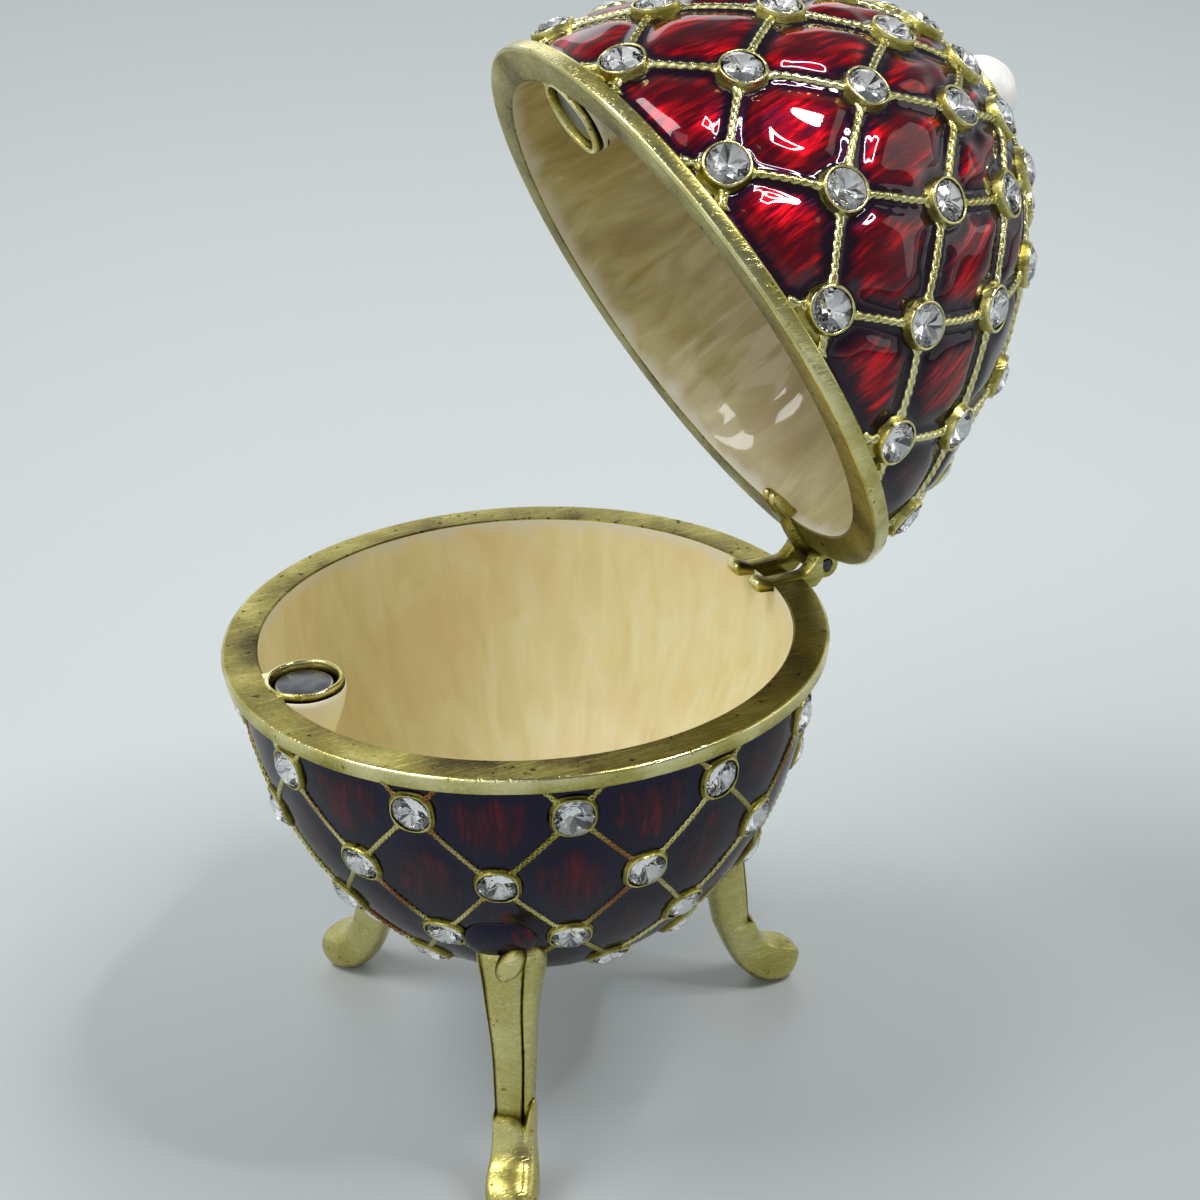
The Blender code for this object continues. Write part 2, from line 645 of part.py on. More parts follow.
# The pin: a straight wire with a low head at each end.
head_start = KNUCKLE_OUTER_END + FIT / 2
pin_outline = (
    (PIN_HEAD_END_RADIUS, -head_start - PIN_HEAD),
    (PIN_HEAD_RADIUS, -head_start - PIN_HEAD / 2),
    (PIN_HEAD_RADIUS, -head_start),
    (PIN_RADIUS, -head_start),
    (PIN_RADIUS, head_start),
    (PIN_HEAD_RADIUS, head_start),
    (PIN_HEAD_RADIUS, head_start + PIN_HEAD / 2),
    (PIN_HEAD_END_RADIUS, head_start + PIN_HEAD),
)
pin_place = at_hinge @ Matrix.Rotation(math.pi / 2, 4, "Y")
add("hinge_pin", moved(turned(pin_outline, KNUCKLE_SIDES), pin_place), stand, gilt)
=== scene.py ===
import json
import math
import random

import bmesh
import bpy
import numpy as np
from mathutils import Matrix, Vector, kdtree, noise


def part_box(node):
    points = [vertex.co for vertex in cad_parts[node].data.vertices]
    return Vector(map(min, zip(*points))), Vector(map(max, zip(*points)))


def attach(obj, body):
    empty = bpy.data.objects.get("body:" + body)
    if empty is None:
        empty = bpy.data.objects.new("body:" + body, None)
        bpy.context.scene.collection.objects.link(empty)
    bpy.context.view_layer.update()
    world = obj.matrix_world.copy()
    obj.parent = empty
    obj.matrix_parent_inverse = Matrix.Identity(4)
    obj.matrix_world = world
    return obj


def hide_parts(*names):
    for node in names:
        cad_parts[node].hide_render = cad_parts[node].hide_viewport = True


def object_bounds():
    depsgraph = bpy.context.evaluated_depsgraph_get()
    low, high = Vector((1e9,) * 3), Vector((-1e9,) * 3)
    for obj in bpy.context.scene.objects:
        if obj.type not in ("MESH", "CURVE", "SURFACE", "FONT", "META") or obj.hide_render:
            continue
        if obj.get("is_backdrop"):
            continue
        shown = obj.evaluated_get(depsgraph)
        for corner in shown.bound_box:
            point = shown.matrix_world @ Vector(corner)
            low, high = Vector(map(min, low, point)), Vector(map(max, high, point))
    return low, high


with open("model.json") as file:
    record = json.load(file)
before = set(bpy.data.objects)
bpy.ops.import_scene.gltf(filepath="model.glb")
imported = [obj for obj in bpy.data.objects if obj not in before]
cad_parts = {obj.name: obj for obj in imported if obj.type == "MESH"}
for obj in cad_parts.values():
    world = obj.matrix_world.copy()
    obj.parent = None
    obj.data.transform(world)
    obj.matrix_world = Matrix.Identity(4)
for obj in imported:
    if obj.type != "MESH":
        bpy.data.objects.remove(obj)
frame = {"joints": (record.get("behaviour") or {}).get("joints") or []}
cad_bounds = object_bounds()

# ---------------------------------------------------------------------------
# Floor, light and camera
# A plain pale floor with a painted shadow before the box, in a room that is bright behind the box
# and dim above and before it. A soft panel is high on the left, weaker ones stand all round, and a
# small lit frame hangs overhead.


def linear(hex_colour):
    """A hex colour such as "#B00818" as linear red, green, blue and alpha."""
    parts = [int(hex_colour[i : i + 2], 16) / 255 for i in (1, 3, 5)]
    return [p / 12.92 if p <= 0.04045 else ((p + 0.055) / 1.055) ** 2.4 for p in parts] + [1.0]


def add_node(tree, kind, settings, sockets):
    """Adds a node. In sockets, which gives its inputs, a node stands for its first output.

    A ramp's stops are pairs of a position and a hex colour or a grey.
    """
    made = tree.nodes.new("ShaderNode" + kind)
    stops = settings.get("stops", ())
    for name, value in settings.items():
        if name != "stops":
            setattr(made, name, value)
    for _ in stops[2:]:
        made.color_ramp.elements.new(0.5)
    for i, (position, value) in enumerate(stops):
        made.color_ramp.elements[i].position = position
        made.color_ramp.elements[i].color = linear(value) if isinstance(value, str) else [value] * 3 + [1.0]
    for name, value in sockets.items():
        if isinstance(value, bpy.types.Node):
            value = value.outputs[0]
        if isinstance(value, bpy.types.NodeSocket):
            tree.links.new(value, made.inputs[name])
        elif isinstance(value, str):
            made.inputs[name].default_value = linear(value)
        else:
            made.inputs[name].default_value = value
    return made


def new_material(name):
    """An empty node material, and its tree."""
    made = bpy.data.materials.new(name)
    made.use_nodes = True
    made.node_tree.nodes.clear()
    return made, made.node_tree


MM = 0.001
bowl_low, bowl_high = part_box("bowl")
rim_radius = (bowl_high.x - bowl_low.x) / 2
rim_height = bowl_high.z
axis_y = bowl_low.y + rim_radius
rim_centre = Vector((0, axis_y, rim_height))

# Pale matt paper with a painted shadow, greyer before the box than behind it.
PALE_BY, SHADOWED_BY = -0.08, 0.07
paper, tree = new_material("pale_paper_floor")
place = add_node(tree, "TexCoord", {}, {}).outputs["Object"]
place = add_node(tree, "SeparateXYZ", {}, {"Vector": place})
painted_shadow = add_node(
    tree, "MapRange", {"interpolation_type": "SMOOTHSTEP"},
    {"Value": place.outputs["X"], "From Min": PALE_BY, "From Max": SHADOWED_BY},
)
tint = add_node(tree, "ValToRGB", {"stops": [(0.0, "#C8CECE"), (1.0, "#A8AEB0")]}, {"Fac": painted_shadow})
shader = add_node(tree, "BsdfPrincipled", {}, {"Base Color": tint, "Roughness": 0.5})
add_node(tree, "OutputMaterial", {}, {"Surface": shader})

bm = bmesh.new()
bmesh.ops.create_grid(bm, x_segments=1, y_segments=1, size=3.0)
floor_mesh = bpy.data.meshes.new("floor")
bm.to_mesh(floor_mesh)
bm.free()
floor_mesh.materials.append(paper)


def add_object(name, data):
    """An object of this mesh, light or camera, in the scene."""
    made = bpy.data.objects.new(name, data)
    bpy.context.scene.collection.objects.link(made)
    return made


add_object("floor", floor_mesh)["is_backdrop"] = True

bpy.context.scene.view_settings.view_transform = "Standard"
world = bpy.data.worlds.new("studio")
bpy.context.scene.world = world
world.use_nodes = True
tree = world.node_tree
tree.nodes.clear()
# The room is bright low down and behind, and dims upwards, to the front (+X) and the right (+Y).
DIM_BY_X, DIM_BY_Y = 0.25, 0.2
way = add_node(tree, "TexCoord", {}, {}).outputs["Generated"]
way = add_node(tree, "SeparateXYZ", {}, {"Vector": way}).outputs
dim = add_node(tree, "Math", {"operation": "MULTIPLY_ADD"}, {0: way["X"], 1: DIM_BY_X, 2: way["Z"]})
way = add_node(tree, "Math", {"operation": "MULTIPLY_ADD"}, {0: way["Y"], 1: DIM_BY_Y, 2: dim})
WALLS_TO_ZENITH = [(0.0, "#DADFE2"), (0.32, "#DADFE2"), (0.58, "#84898D"), (1.0, "#5A5F63")]
room = add_node(tree, "ValToRGB", {"stops": WALLS_TO_ZENITH}, {"Fac": way})
room = add_node(tree, "Background", {}, {"Color": room})
add_node(tree, "OutputWorld", {}, {"Surface": room})


def add_panel(name, place, size, radiance, colour):
    """A flat light along its own -Z. It sends out pi watts for each unit of radiance and area."""
    light = bpy.data.lights.new(name, "AREA")
    light.shape = "RECTANGLE"
    light.size, light.size_y = size
    light.energy = math.pi * radiance * size[0] * size[1]
    light.color = linear(colour)[:3]
    add_object(name, light).matrix_world = place


def facing(place):
    """A matrix at this place with its -Z towards the box."""
    turn = (rim_centre - Vector(place)).to_track_quat("-Z", "Y").to_matrix().to_4x4()
    return Matrix.Translation(place) @ turn


add_panel("high_left_panel", facing((-0.10, -0.40, 0.78)), (0.36, 0.30), 9.0, "#FFFFFF")
add_panel("front_left_panel", facing((0.36, -0.50, 0.66)), (0.5, 0.5), 1.1, "#FFFFFF")
add_panel("back_panel", facing((-0.76, 0.32, 0.44)), (0.6, 0.4), 1.2, "#FFFFFF")
add_panel("right_panel", facing((0.20, 0.70, 0.35)), (0.4, 0.4), 1.1, "#FFFBF2")
FRAME_SIDE = 0.11
TUBE_WIDTH = 0.016
FRAME_AWAY = 0.5
frame_place = facing(rim_centre + Vector((0.30, 0.36, 0.88)).normalized() * FRAME_AWAY)
for side in range(4):
    turn = Matrix.Rotation(side * math.pi / 2, 4, "Z") @ Matrix.Translation((0, FRAME_SIDE / 2, 0))
    add_panel(f"frame_tube_{side}", frame_place @ turn, (FRAME_SIDE, TUBE_WIDTH), 60.0, "#FFFFFF")

# The camera looks down on the box from 7.6 rim radii away, through a 69 mm lens.
forward = Vector((-0.82056, 0.36861, -0.43680)).normalized()
right = Vector((0.42151, 0.90643, -0.02691))
right = (right - forward * right.dot(forward)).normalized()
camera_data = bpy.data.cameras.new("camera")
camera_data.sensor_width = 36.0
camera_data.lens = 69.06
camera_data.clip_start = 0.01
camera = add_object("camera", camera_data)
turn = Matrix((right, right.cross(forward), -forward)).transposed().to_4x4()
camera_place = rim_centre + Vector((6.30786, -2.56221, 3.39325)) * rim_radius
camera.matrix_world = Matrix.Translation(camera_place) @ turn
bpy.context.scene.camera = camera

# ---------------------------------------------------------------------------
# Rims and magnet cups
# Each half is a zinc alloy casting, ground flat at the rim and gilt, with its magnet's cup cast on.
# The lid's rim has one slot for its hinge finger, and the bowl's has two, with a shallow notch
# between them that the lid's finger shuts into.


def move(bm, matrix):
    """Sets a whole bmesh in its place."""
    bmesh.ops.transform(bm, matrix=matrix, verts=bm.verts)


def piece(name, bm, material, half, replaces=(), sharp_from=40):
    """Makes a finished object of a bmesh made in a half's own frame, and sets it on its body."""
    move(bm, half["place"])
    mesh = bpy.data.meshes.new(name)
    bm.to_mesh(mesh)
    bm.free()
    mesh.materials.append(material)
    mesh.shade_smooth()
    mesh.set_sharp_from_angle(angle=math.radians(sharp_from))
    made = add_object(name, mesh)
    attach(made, half["body"])
    if replaces:
        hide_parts(*replaces)


def lathe(profile, steps, closed=True):
    """A bmesh turned about Z from (radius, height) points."""
    bm = bmesh.new()
    verts = [bm.verts.new((rho, 0, z)) for rho, z in profile]
    ends = verts[1:] + verts[:1] if closed else verts[1:]
    edges = [bm.edges.new(pair) for pair in zip(verts, ends)]
    bmesh.ops.spin(
        bm, geom=verts + edges, axis=(0, 0, 1), cent=(0, 0, 0), steps=steps, angle=math.tau, use_merge=True
    )
    bmesh.ops.remove_doubles(bm, verts=bm.verts, dist=1e-7)
    bmesh.ops.recalc_face_normals(bm, faces=bm.faces)
    return bm


def rounded(centre, radius, start, end, steps=4):
    """Points along an arc, in degrees."""
    turns = [math.radians(start + (end - start) * i / steps) for i in range(steps + 1)]
    return [(centre[0] + radius * math.cos(t), centre[1] + radius * math.sin(t)) for t in turns]


def join(bm, part):
    """Adds a small bmesh to a larger one, and frees it."""
    mesh = bpy.data.meshes.new("part")
    part.to_mesh(mesh)
    part.free()
    bm.from_mesh(mesh)
    bpy.data.meshes.remove(mesh)


def box(low, high):
    """A box between two opposite corners."""
    bm = bmesh.new()
    bmesh.ops.create_cube(bm, size=1.0)
    low, high = Vector(low), Vector(high)
    move(bm, Matrix.Translation((low + high) / 2) @ Matrix.Diagonal((*(high - low), 1.0)))
    return bm


def modified(bm, kind, settings, helpers=()):
    """The bmesh after one modifier, or one for each helper that it names as its object."""
    objects = []
    for shape in (bm, *helpers):
        mesh = bpy.data.meshes.new("shape")
        shape.to_mesh(mesh)
        shape.free()
        objects.append(add_object("shape", mesh))
    for helper in objects[1:] or [None]:
        modifier = objects[0].modifiers.new("shape", kind)
        for name, value in settings.items():
            setattr(modifier, name, value)
        if helper:
            modifier.object = helper
    bpy.context.view_layer.update()
    made = bmesh.new()
    made.from_mesh(objects[0].evaluated_get(bpy.context.evaluated_depsgraph_get()).to_mesh())
    for used in objects:
        bpy.data.objects.remove(used, do_unlink=True)
    return made


def roughen(bm, per_metre, depth):
    """Makes a casting uneven. Its lumps, as in all noise here, are about 1 / per_metre across."""
    for vert in bm.verts:
        vert.co += noise.noise_vector(vert.co * per_metre) * depth


def set_wear_and_shade(bm, amount):
    """Stores how worn and bright, above zero, or how dark, below zero, each vertex of a gilt piece is, as
    wear and, in the magnet cups, painted shadow.
    """
    layer = bm.verts.layers.float.get("wear_and_shade") or bm.verts.layers.float.new("wear_and_shade")
    for vert in bm.verts:
        vert[layer] = amount(vert.co)


hinge = Vector(frame["joints"][0]["pos_m"])
LID_OPEN = math.radians(62.75)
SHUT_GAP = 0.3 * MM
BAND = 1.5 * MM
OPENING_RADIUS = 22.9 * MM
# Each half is made tip up with its rim at z = 0. The bowl is then turned over, and the lid is set
# a gap above it and swung open.
to_axis = Matrix.Translation((0, axis_y, rim_height))
swing = Matrix.Translation(hinge) @ Matrix.Rotation(-LID_OPEN, 4, "X") @ Matrix.Translation(-hinge)
bowl = {"name": "bowl", "body": "base", "place": to_axis @ Matrix.Rotation(math.pi, 4, "Y")}
lid = {"name": "lid", "body": "cover", "place": swing @ to_axis @ Matrix.Translation((0, 0, SHUT_GAP))}

# Antique gilding: thin brass-coloured plate over cast zinc, darkened and wiped back. It is pale
# and smooth where it is rubbed, and olive to black in its pits, hollows and grinding scratches.
GRAIN, CLOUD, PIT = 0.35 * MM, MM / 0.17, 0.8 * MM
SCRATCH_WIDE, SCRATCH_LONG = 0.22 * MM, 3.5 * MM
gilt, tree = new_material("antique_gilt_zinc")
place = add_node(tree, "TexCoord", {}, {}).outputs["Object"]
grain = add_node(tree, "TexNoise", {}, {"Vector": place, "Scale": 1 / GRAIN, "Detail": 4.0})
cloud = add_node(tree, "TexNoise", {}, {"Vector": place, "Scale": 1 / CLOUD, "Detail": 3.0})
pit = add_node(tree, "TexNoise", {}, {"Vector": place, "Scale": 1 / PIT, "Detail": 2.0})
pit = add_node(tree, "MapRange", {}, {"Value": pit, "From Min": 0.27, "From Max": 0.33})
scratches = []
for angle in (0.4, 1.5, 2.6):
    lay = add_node(
        tree, "Mapping", {},
        {
            "Vector": place,
            "Rotation": (0.0, 0.0, angle),
            "Scale": (1 / SCRATCH_WIDE, 1 / SCRATCH_LONG, 1 / SCRATCH_WIDE),
        },
    )
    line = add_node(tree, "TexNoise", {}, {"Vector": lay, "Scale": 1.0, "Detail": 2.0})
    line = add_node(tree, "MapRange", {}, {"Value": line, "From Min": 0.6, "From Max": 0.7})
    scratches.append(line)
scratch = add_node(tree, "Math", {"operation": "MAXIMUM"}, {0: scratches[0], 1: scratches[1]})
scratch = add_node(tree, "Math", {"operation": "MAXIMUM"}, {0: scratch, 1: scratches[2]})
# Wear, which in the magnet cups also holds a painted shadow under the lip.
worn_and_shaded = add_node(tree, "Attribute", {"attribute_name": "wear_and_shade"}, {}).outputs["Fac"]
for share, pattern in ((0.2, grain), (0.6, cloud), (0.12, scratch)):
    worn_and_shaded = add_node(tree, "Math", {"operation": "MULTIPLY_ADD"}, {0: pattern, 1: share, 2: worn_and_shaded})
pitted = add_node(tree, "Math", {"operation": "MULTIPLY_ADD"}, {0: pit, 1: 0.25, 2: worn_and_shaded})
pitted = add_node(tree, "Math", {"operation": "SUBTRACT"}, {0: pitted, 1: 0.25})
TONES = [(0.0, "#171207"), (0.20, "#554A1C"), (0.42, "#958A3A"), (0.64, "#C2B86C"), (1.0, "#F2EBB0")]
tone = add_node(tree, "ValToRGB", {"stops": TONES}, {"Fac": pitted})
stain = add_node(tree, "Attribute", {"attribute_name": "stain"}, {}).outputs["Fac"]
tone = add_node(tree, "Mix", {"data_type": "RGBA"}, {"Factor": stain, 6: tone, 7: "#7A1A1C"}).outputs[2]
dull = add_node(tree, "ValToRGB", {"stops": [(0.15, 0.55), (0.85, 0.17)]}, {"Fac": pitted})
rough = add_node(
    tree, "Bump", {"invert": True}, {"Strength": 0.4, "Distance": 0.03 * MM, "Height": scratch}
)
for strength, depth, pattern in ((0.5, 0.08 * MM, pit), (0.08, 0.05 * MM, grain)):
    rough = add_node(
        tree, "Bump", {}, {"Strength": strength, "Distance": depth, "Height": pattern, "Normal": rough}
    )
shader = add_node(
    tree, "BsdfPrincipled", {}, {"Base Color": tone, "Metallic": 1.0, "Roughness": dull, "Normal": rough}
)
add_node(tree, "OutputMaterial", {}, {"Surface": shader})

CORNER = 0.32 * MM
face_start, face_end = OPENING_RADIUS + 0.15 * MM, rim_radius - CORNER
rim_profile = [(OPENING_RADIUS, 2.4 * MM), (OPENING_RADIUS, 0.2 * MM)]
rim_profile += [(rho, 0.0) for rho in np.linspace(face_start, face_end, 6)]
rim_profile += rounded((rim_radius - CORNER, CORNER), CORNER, -90, 0, 5)[1:]
rim_profile += rounded((rim_radius - 0.4 * MM, BAND - 0.3 * MM), 0.3 * MM, 0, 90, 4)
rim_profile += [(rim_radius - 1.7 * MM, BAND + 0.1 * MM)]

MAGNET_Y = -20.0 * MM
to_magnet = Matrix.Translation((0, MAGNET_Y, 0))
MAGNET_RADIUS = 2.45 * MM
CUP_RADIUS = 3.42 * MM
CUP_BOTTOM = 2.6 * MM
LIP = 0.2 * MM
LIP_HEIGHT = -0.08 * MM
cup_bore = MAGNET_RADIUS + 0.45 * MM
cup_profile = [(cup_bore, 1.2 * MM)] + rounded((cup_bore + LIP, LIP_HEIGHT + LIP), LIP, 180, 360, 6)
cup_profile += [(CUP_RADIUS - 0.05 * MM, 0.6 * MM), (CUP_RADIUS, 1.2 * MM)]
cup_profile += [(CUP_RADIUS - 0.4 * MM, CUP_BOTTOM), (0.1 * MM, CUP_BOTTOM)]
cup_profile += [(0.1 * MM, CUP_BOTTOM - 0.5 * MM), (cup_bore, CUP_BOTTOM - 0.5 * MM)]

FINGER_X = 1.95 * MM
SLOT_HALF = 0.9 * MM
LID_SLOT_HALF = 0.95 * MM
SLOT_DEPTH = 1.45 * MM
SLOT_FROM, SLOT_TO = 20 * MM, 27 * MM
NOTCH_HALF = 1.3 * MM
NOTCH_DEPTH = 0.75 * MM
# A cutter reaches this far past what it cuts.
PAST = 1 * MM
# The corners of the web between a cup and its rim.
WEB_LOW = (-2.3 * MM, -23.4 * MM, 0.04 * MM)
WEB_HIGH = (2.3 * MM, -20.9 * MM, 1.3 * MM)
bowl["slots"] = [side * FINGER_X + edge for side in (-1, 1) for edge in (-SLOT_HALF, SLOT_HALF)]
lid["slots"] = [-LID_SLOT_HALF, LID_SLOT_HALF]
for half in (bowl, lid):
    rim = lathe(rim_profile, 240)
    pairs = zip(half["slots"][::2], half["slots"][1::2])
    slots = [box((a, SLOT_FROM, -PAST), (b, SLOT_TO, SLOT_DEPTH)) for a, b in pairs]
    if half is bowl:
        slots.append(box((-NOTCH_HALF, SLOT_FROM, -PAST), (NOTCH_HALF, SLOT_TO, NOTCH_DEPTH)))
    rim = modified(rim, "BOOLEAN", {"operation": "DIFFERENCE"}, slots)

    def rim_wear(co):
        """The ground face is dull and darker inwards, and the outer edge is rubbed bright."""
        edge = math.exp(-(((co.xy.length - rim_radius) / (0.35 * MM)) ** 2))
        if co.z < 0.01 * MM and co.xy.length < face_end + 0.01 * MM:
            outwards = (co.xy.length - face_start) / (face_end - face_start)
            return -0.11 + 0.13 * outwards + 0.12 * noise.noise(co * 120)
        return 0.12 + 0.3 * edge * (1.2 - co.z / BAND) + 0.3 * noise.noise(co * 330)

    set_wear_and_shade(rim, rim_wear)
    piece(half["name"] + "_rim", rim, gilt, half)

    cup = lathe(cup_profile, 64)
    move(cup, to_magnet)
    deep = CUP_BOTTOM + 1.4 * MM
    well = lathe([(0.0, -PAST), (cup_bore, -PAST), (cup_bore, deep), (0.0, deep)], 64, closed=False)
    move(well, to_magnet)
    join(cup, modified(box(WEB_LOW, WEB_HIGH), "BOOLEAN", {"operation": "DIFFERENCE"}, [well]))
    for vert in cup.verts:
        vert.co += noise.noise_vector(vert.co * 350) * 0.09 * MM * (vert.co.y > MAGNET_Y - 2.9 * MM)
    # The lip is rubbed, and all of the cup below it is painted dark, as painted shadow under the lip.
    set_wear_and_shade(cup, lambda co: 0.38 + 0.5 * noise.noise(co * 400) if co.z < 0.42 * MM else -0.7)
    piece(half["name"] + "_magnet_cup", cup, gilt, half)

# ---------------------------------------------------------------------------
# Wine enamel
# Translucent dark red enamel, flooded into each cell of the cast trellis and fired. It climbs
# a little against the ropes and collets, and each cell's middle is a glossy pillow.


class Egg:
    """Half an egg, tip up, read by the length of arc from its rim. It is a superellipse, turned."""

    def __init__(self, radius, depth, power):
        turn = np.linspace(0.0, math.pi / 2, 601)
        self.rho = radius * np.cos(turn) ** (2 / power)
        self.rho[-1] = 0.0
        self.depth = depth * np.sin(turn) ** (2 / power)
        self.arc = np.concatenate([[0.0], np.cumsum(np.hypot(np.diff(self.rho), np.diff(self.depth)))])

    def arc_at(self, depth):
        """The arc at a depth from the rim."""
        return float(np.interp(depth, self.depth, self.arc))

    def arc_at_radius(self, rho):
        """The arc at a distance from the axis."""
        return float(np.interp(rho, self.rho[::-1], self.arc[::-1]))

    def frame(self, turn, arc, out=0.0):
        """A matrix at this polar angle and arc: X along the row, Y towards the tip, Z outwards."""
        rho, z = np.interp(arc, self.arc, self.rho), np.interp(arc, self.arc, self.depth)
        ends = (max(arc - 0.05 * MM, 0.0), min(arc + 0.05 * MM, self.arc[-1]))
        slope = [np.interp(end, self.arc, side) for side in (self.rho, self.depth) for end in ends]
        along = Vector((slope[1] - slope[0], 0, slope[3] - slope[2])).normalized()
        along = Vector((along.x * math.cos(turn), along.x * math.sin(turn), along.z))
        across = Vector((-math.sin(turn), math.cos(turn), 0))
        outward = across.cross(along)
        point = Vector((rho * math.cos(turn), rho * math.sin(turn), z)) + outward * out
        return Matrix.Translation(point) @ Matrix((across, along, outward)).transposed().to_4x4()

    def point(self, turn, arc, out=0.0):
        """The place at this polar angle and arc."""
        return self.frame(turn, arc, out).to_translation()

    def side(self, start, end, count):
        """Its side from one arc to another, as (radius, height) points for the lathe."""
        points = [self.point(0, arc) for arc in np.linspace(start, end, count)]
        return [(point.x, point.z) for point in points]


STONES = 12
PITCH = math.tau / STONES
LEG_TURNS = (math.radians(90), math.radians(210), math.radians(330))
COLLET = 1.95 * MM
bowl["egg"] = Egg(24.7 * MM, 30.7 * MM, 2.0)
bowl["rows"] = [4.4 * MM, 11.4 * MM, 18.4 * MM, 24.2 * MM]
bowl["tip"] = 6.0 * MM
lid["egg"] = Egg(24.8 * MM, 32.2 * MM, 1.8)
lid["rows"] = [3.9 * MM, 10.2 * MM, 17.4 * MM, 23.9 * MM, 28.6 * MM]
lid["tip"] = 3.7 * MM

for half in (bowl, lid):
    egg = half["egg"]
    arcs = [egg.arc_at(depth) for depth in half["rows"]]
    band = egg.arc_at(BAND)
    tip_arc = egg.arc_at_radius(half["tip"])
    above = 2 * arcs[0] - arcs[1]
    half.update(arcs=arcs, band=band, above=above, crossings=[], stones=[], ropes=[])
    for row, arc in enumerate(arcs):
        for k in range(STONES):
            turn = (k + (0.5 if row % 2 == 0 else 0.0)) * PITCH
            half["crossings"].append((turn, arc))
            if half is lid or row < 3 or all(abs(turn - leg) > 0.1 for leg in LEG_TURNS):
                half["stones"].append((turn, arc))
            for side in (-PITCH / 2, PITCH / 2):
                if row == 0:
                    share = (arc - band) / (arc - above)
                    half["ropes"].append(((turn + side * share, band), (turn, arc)))
                if arc != arcs[-1]:
                    half["ropes"].append(((turn, arc), (turn + side, arcs[row + 1])))
            if arc == arcs[-1]:
                half["ropes"].append(((turn, arc), (turn, tip_arc)))


def between(start, end, share):
    """The (turn, arc) at a share of the way along a rope."""
    return tuple(a + (b - a) * share for a, b in zip(start, end))


def turn_faces(shell, outwards):
    """Turns an open shell's faces away from its middle, or towards it."""
    shell.normal_update()
    shell.faces.ensure_lookup_table()
    away = shell.faces[0].normal.dot(shell.faces[0].calc_center_median()) > 0
    if away != outwards:
        bmesh.ops.reverse_faces(shell, faces=shell.faces)
        shell.normal_update()


def near(points):
    """A tree that finds the nearest of these points."""
    tree = kdtree.KDTree(len(points))
    for i, point in enumerate(points):
        tree.insert(point, i)
    tree.balance()
    return tree


def ease(share):
    """A smooth step from 0 to 1."""
    share = min(max(share, 0.0), 1.0)
    return share * share * (3 - 2 * share)


SUNK_BELOW_STONE = 1.1 * MM
bowl["gloss"], lid["gloss"] = 0.6, 0.85
# The lid's cells on the hinge side are darkened as painted shade, as they face down when it is open.
bowl["hinge_side_deeper"], lid["hinge_side_deeper"] = 0.0, 0.9
bowl["rope_radius"] = 0.26 * MM
lid["rope_radius"] = 0.38 * MM
# Each half: how high the pillow stands, how wide its shoulder is, how far the edge climbs, the waves.
for half, dome, shoulder, climb, wave in (
    (bowl, 0.08 * MM, 2.2, 0.06 * MM, 0.03 * MM),
    (lid, 0.50 * MM, 1.9, 0.28 * MM, 0.2 * MM),
):
    egg = half["egg"]
    steps = np.linspace(0, 1, 60)
    samples = [egg.point(*between(start, end, t)) for start, end in half["ropes"] for t in steps]
    rope_tree = near(samples)
    collet_tree = near([egg.point(turn, arc) for turn, arc in half["stones"]])
    middles = [(turn + PITCH / 2, arc) for turn, arc in half["crossings"]]
    middle_tree = near([egg.point(*middle) for middle in middles])

    start, end = egg.arc_at(BAND - 0.5 * MM), egg.arc_at_radius(half["tip"] - 1.0 * MM)
    bm = lathe(egg.side(start, end, 150), 560, closed=False)
    turn_faces(bm, outwards=True)
    cell = bm.verts.layers.float_vector.new("cell")
    border = bm.verts.layers.float.new("border")
    lifts = []
    for vert in bm.verts:
        _, index, _ = middle_tree.find(vert.co)
        turn, arc = middles[index]
        here = egg.arc_at(vert.co.z)
        round_by = (math.atan2(vert.co.y, vert.co.x) - turn + math.pi) % math.tau - math.pi
        vert[cell] = (round_by * vert.co.xy.length, here - arc, index * 7.31 * MM)
        from_stone = collet_tree.find(vert.co)[2]
        from_rope = rope_tree.find(vert.co)[2] - half["rope_radius"]
        edge = min(from_rope, from_stone - COLLET, here - half["band"])
        edge = max(edge, 0.0) / MM
        edge += 0.3 * noise.noise(vert.co * 450) * min(edge, 1.0)
        # A random flood depth for each cell, less the painted shade on the lid's hinge side; both darken it.
        flood_and_shade = 0.3 * noise.noise(Vector((index * 3.7, 0.3, 0.9)))
        flood_and_shade -= half["hinge_side_deeper"] * math.sin(turn)
        vert[border] = edge * max(0.9 + flood_and_shade, 0.2)
        lift = dome * ease(edge / shoulder) + climb * math.exp(-((edge / 0.25) ** 2))
        lift += wave * noise.noise(vert.co * 260) * ease(edge / 1.5)
        lift -= SUNK_BELOW_STONE * ease((COLLET - from_stone) / (0.3 * MM))
        lifts.append(vert.normal * lift)
    for vert, lift in zip(bm.verts, lifts):
        vert.co += lift
    pillows = [vert for vert in bm.verts if vert[border] > 0.3]
    for _ in range(8):
        bmesh.ops.smooth_vert(
            bm, verts=pillows, factor=0.5, use_axis_x=True, use_axis_y=True, use_axis_z=True
        )
    half["enamel"] = bm

# Fine strokes are about 0.4 by 3 mm and broad ones 1.3 by 5 mm. Both sway by up to about 1 mm.
FINE_STROKES = (2400.0, 300.0, 900.0)
BROAD_STROKES = (800.0, 190.0, 900.0)
SWAY, SWAY_BY = MM / 0.23, 0.9 * MM
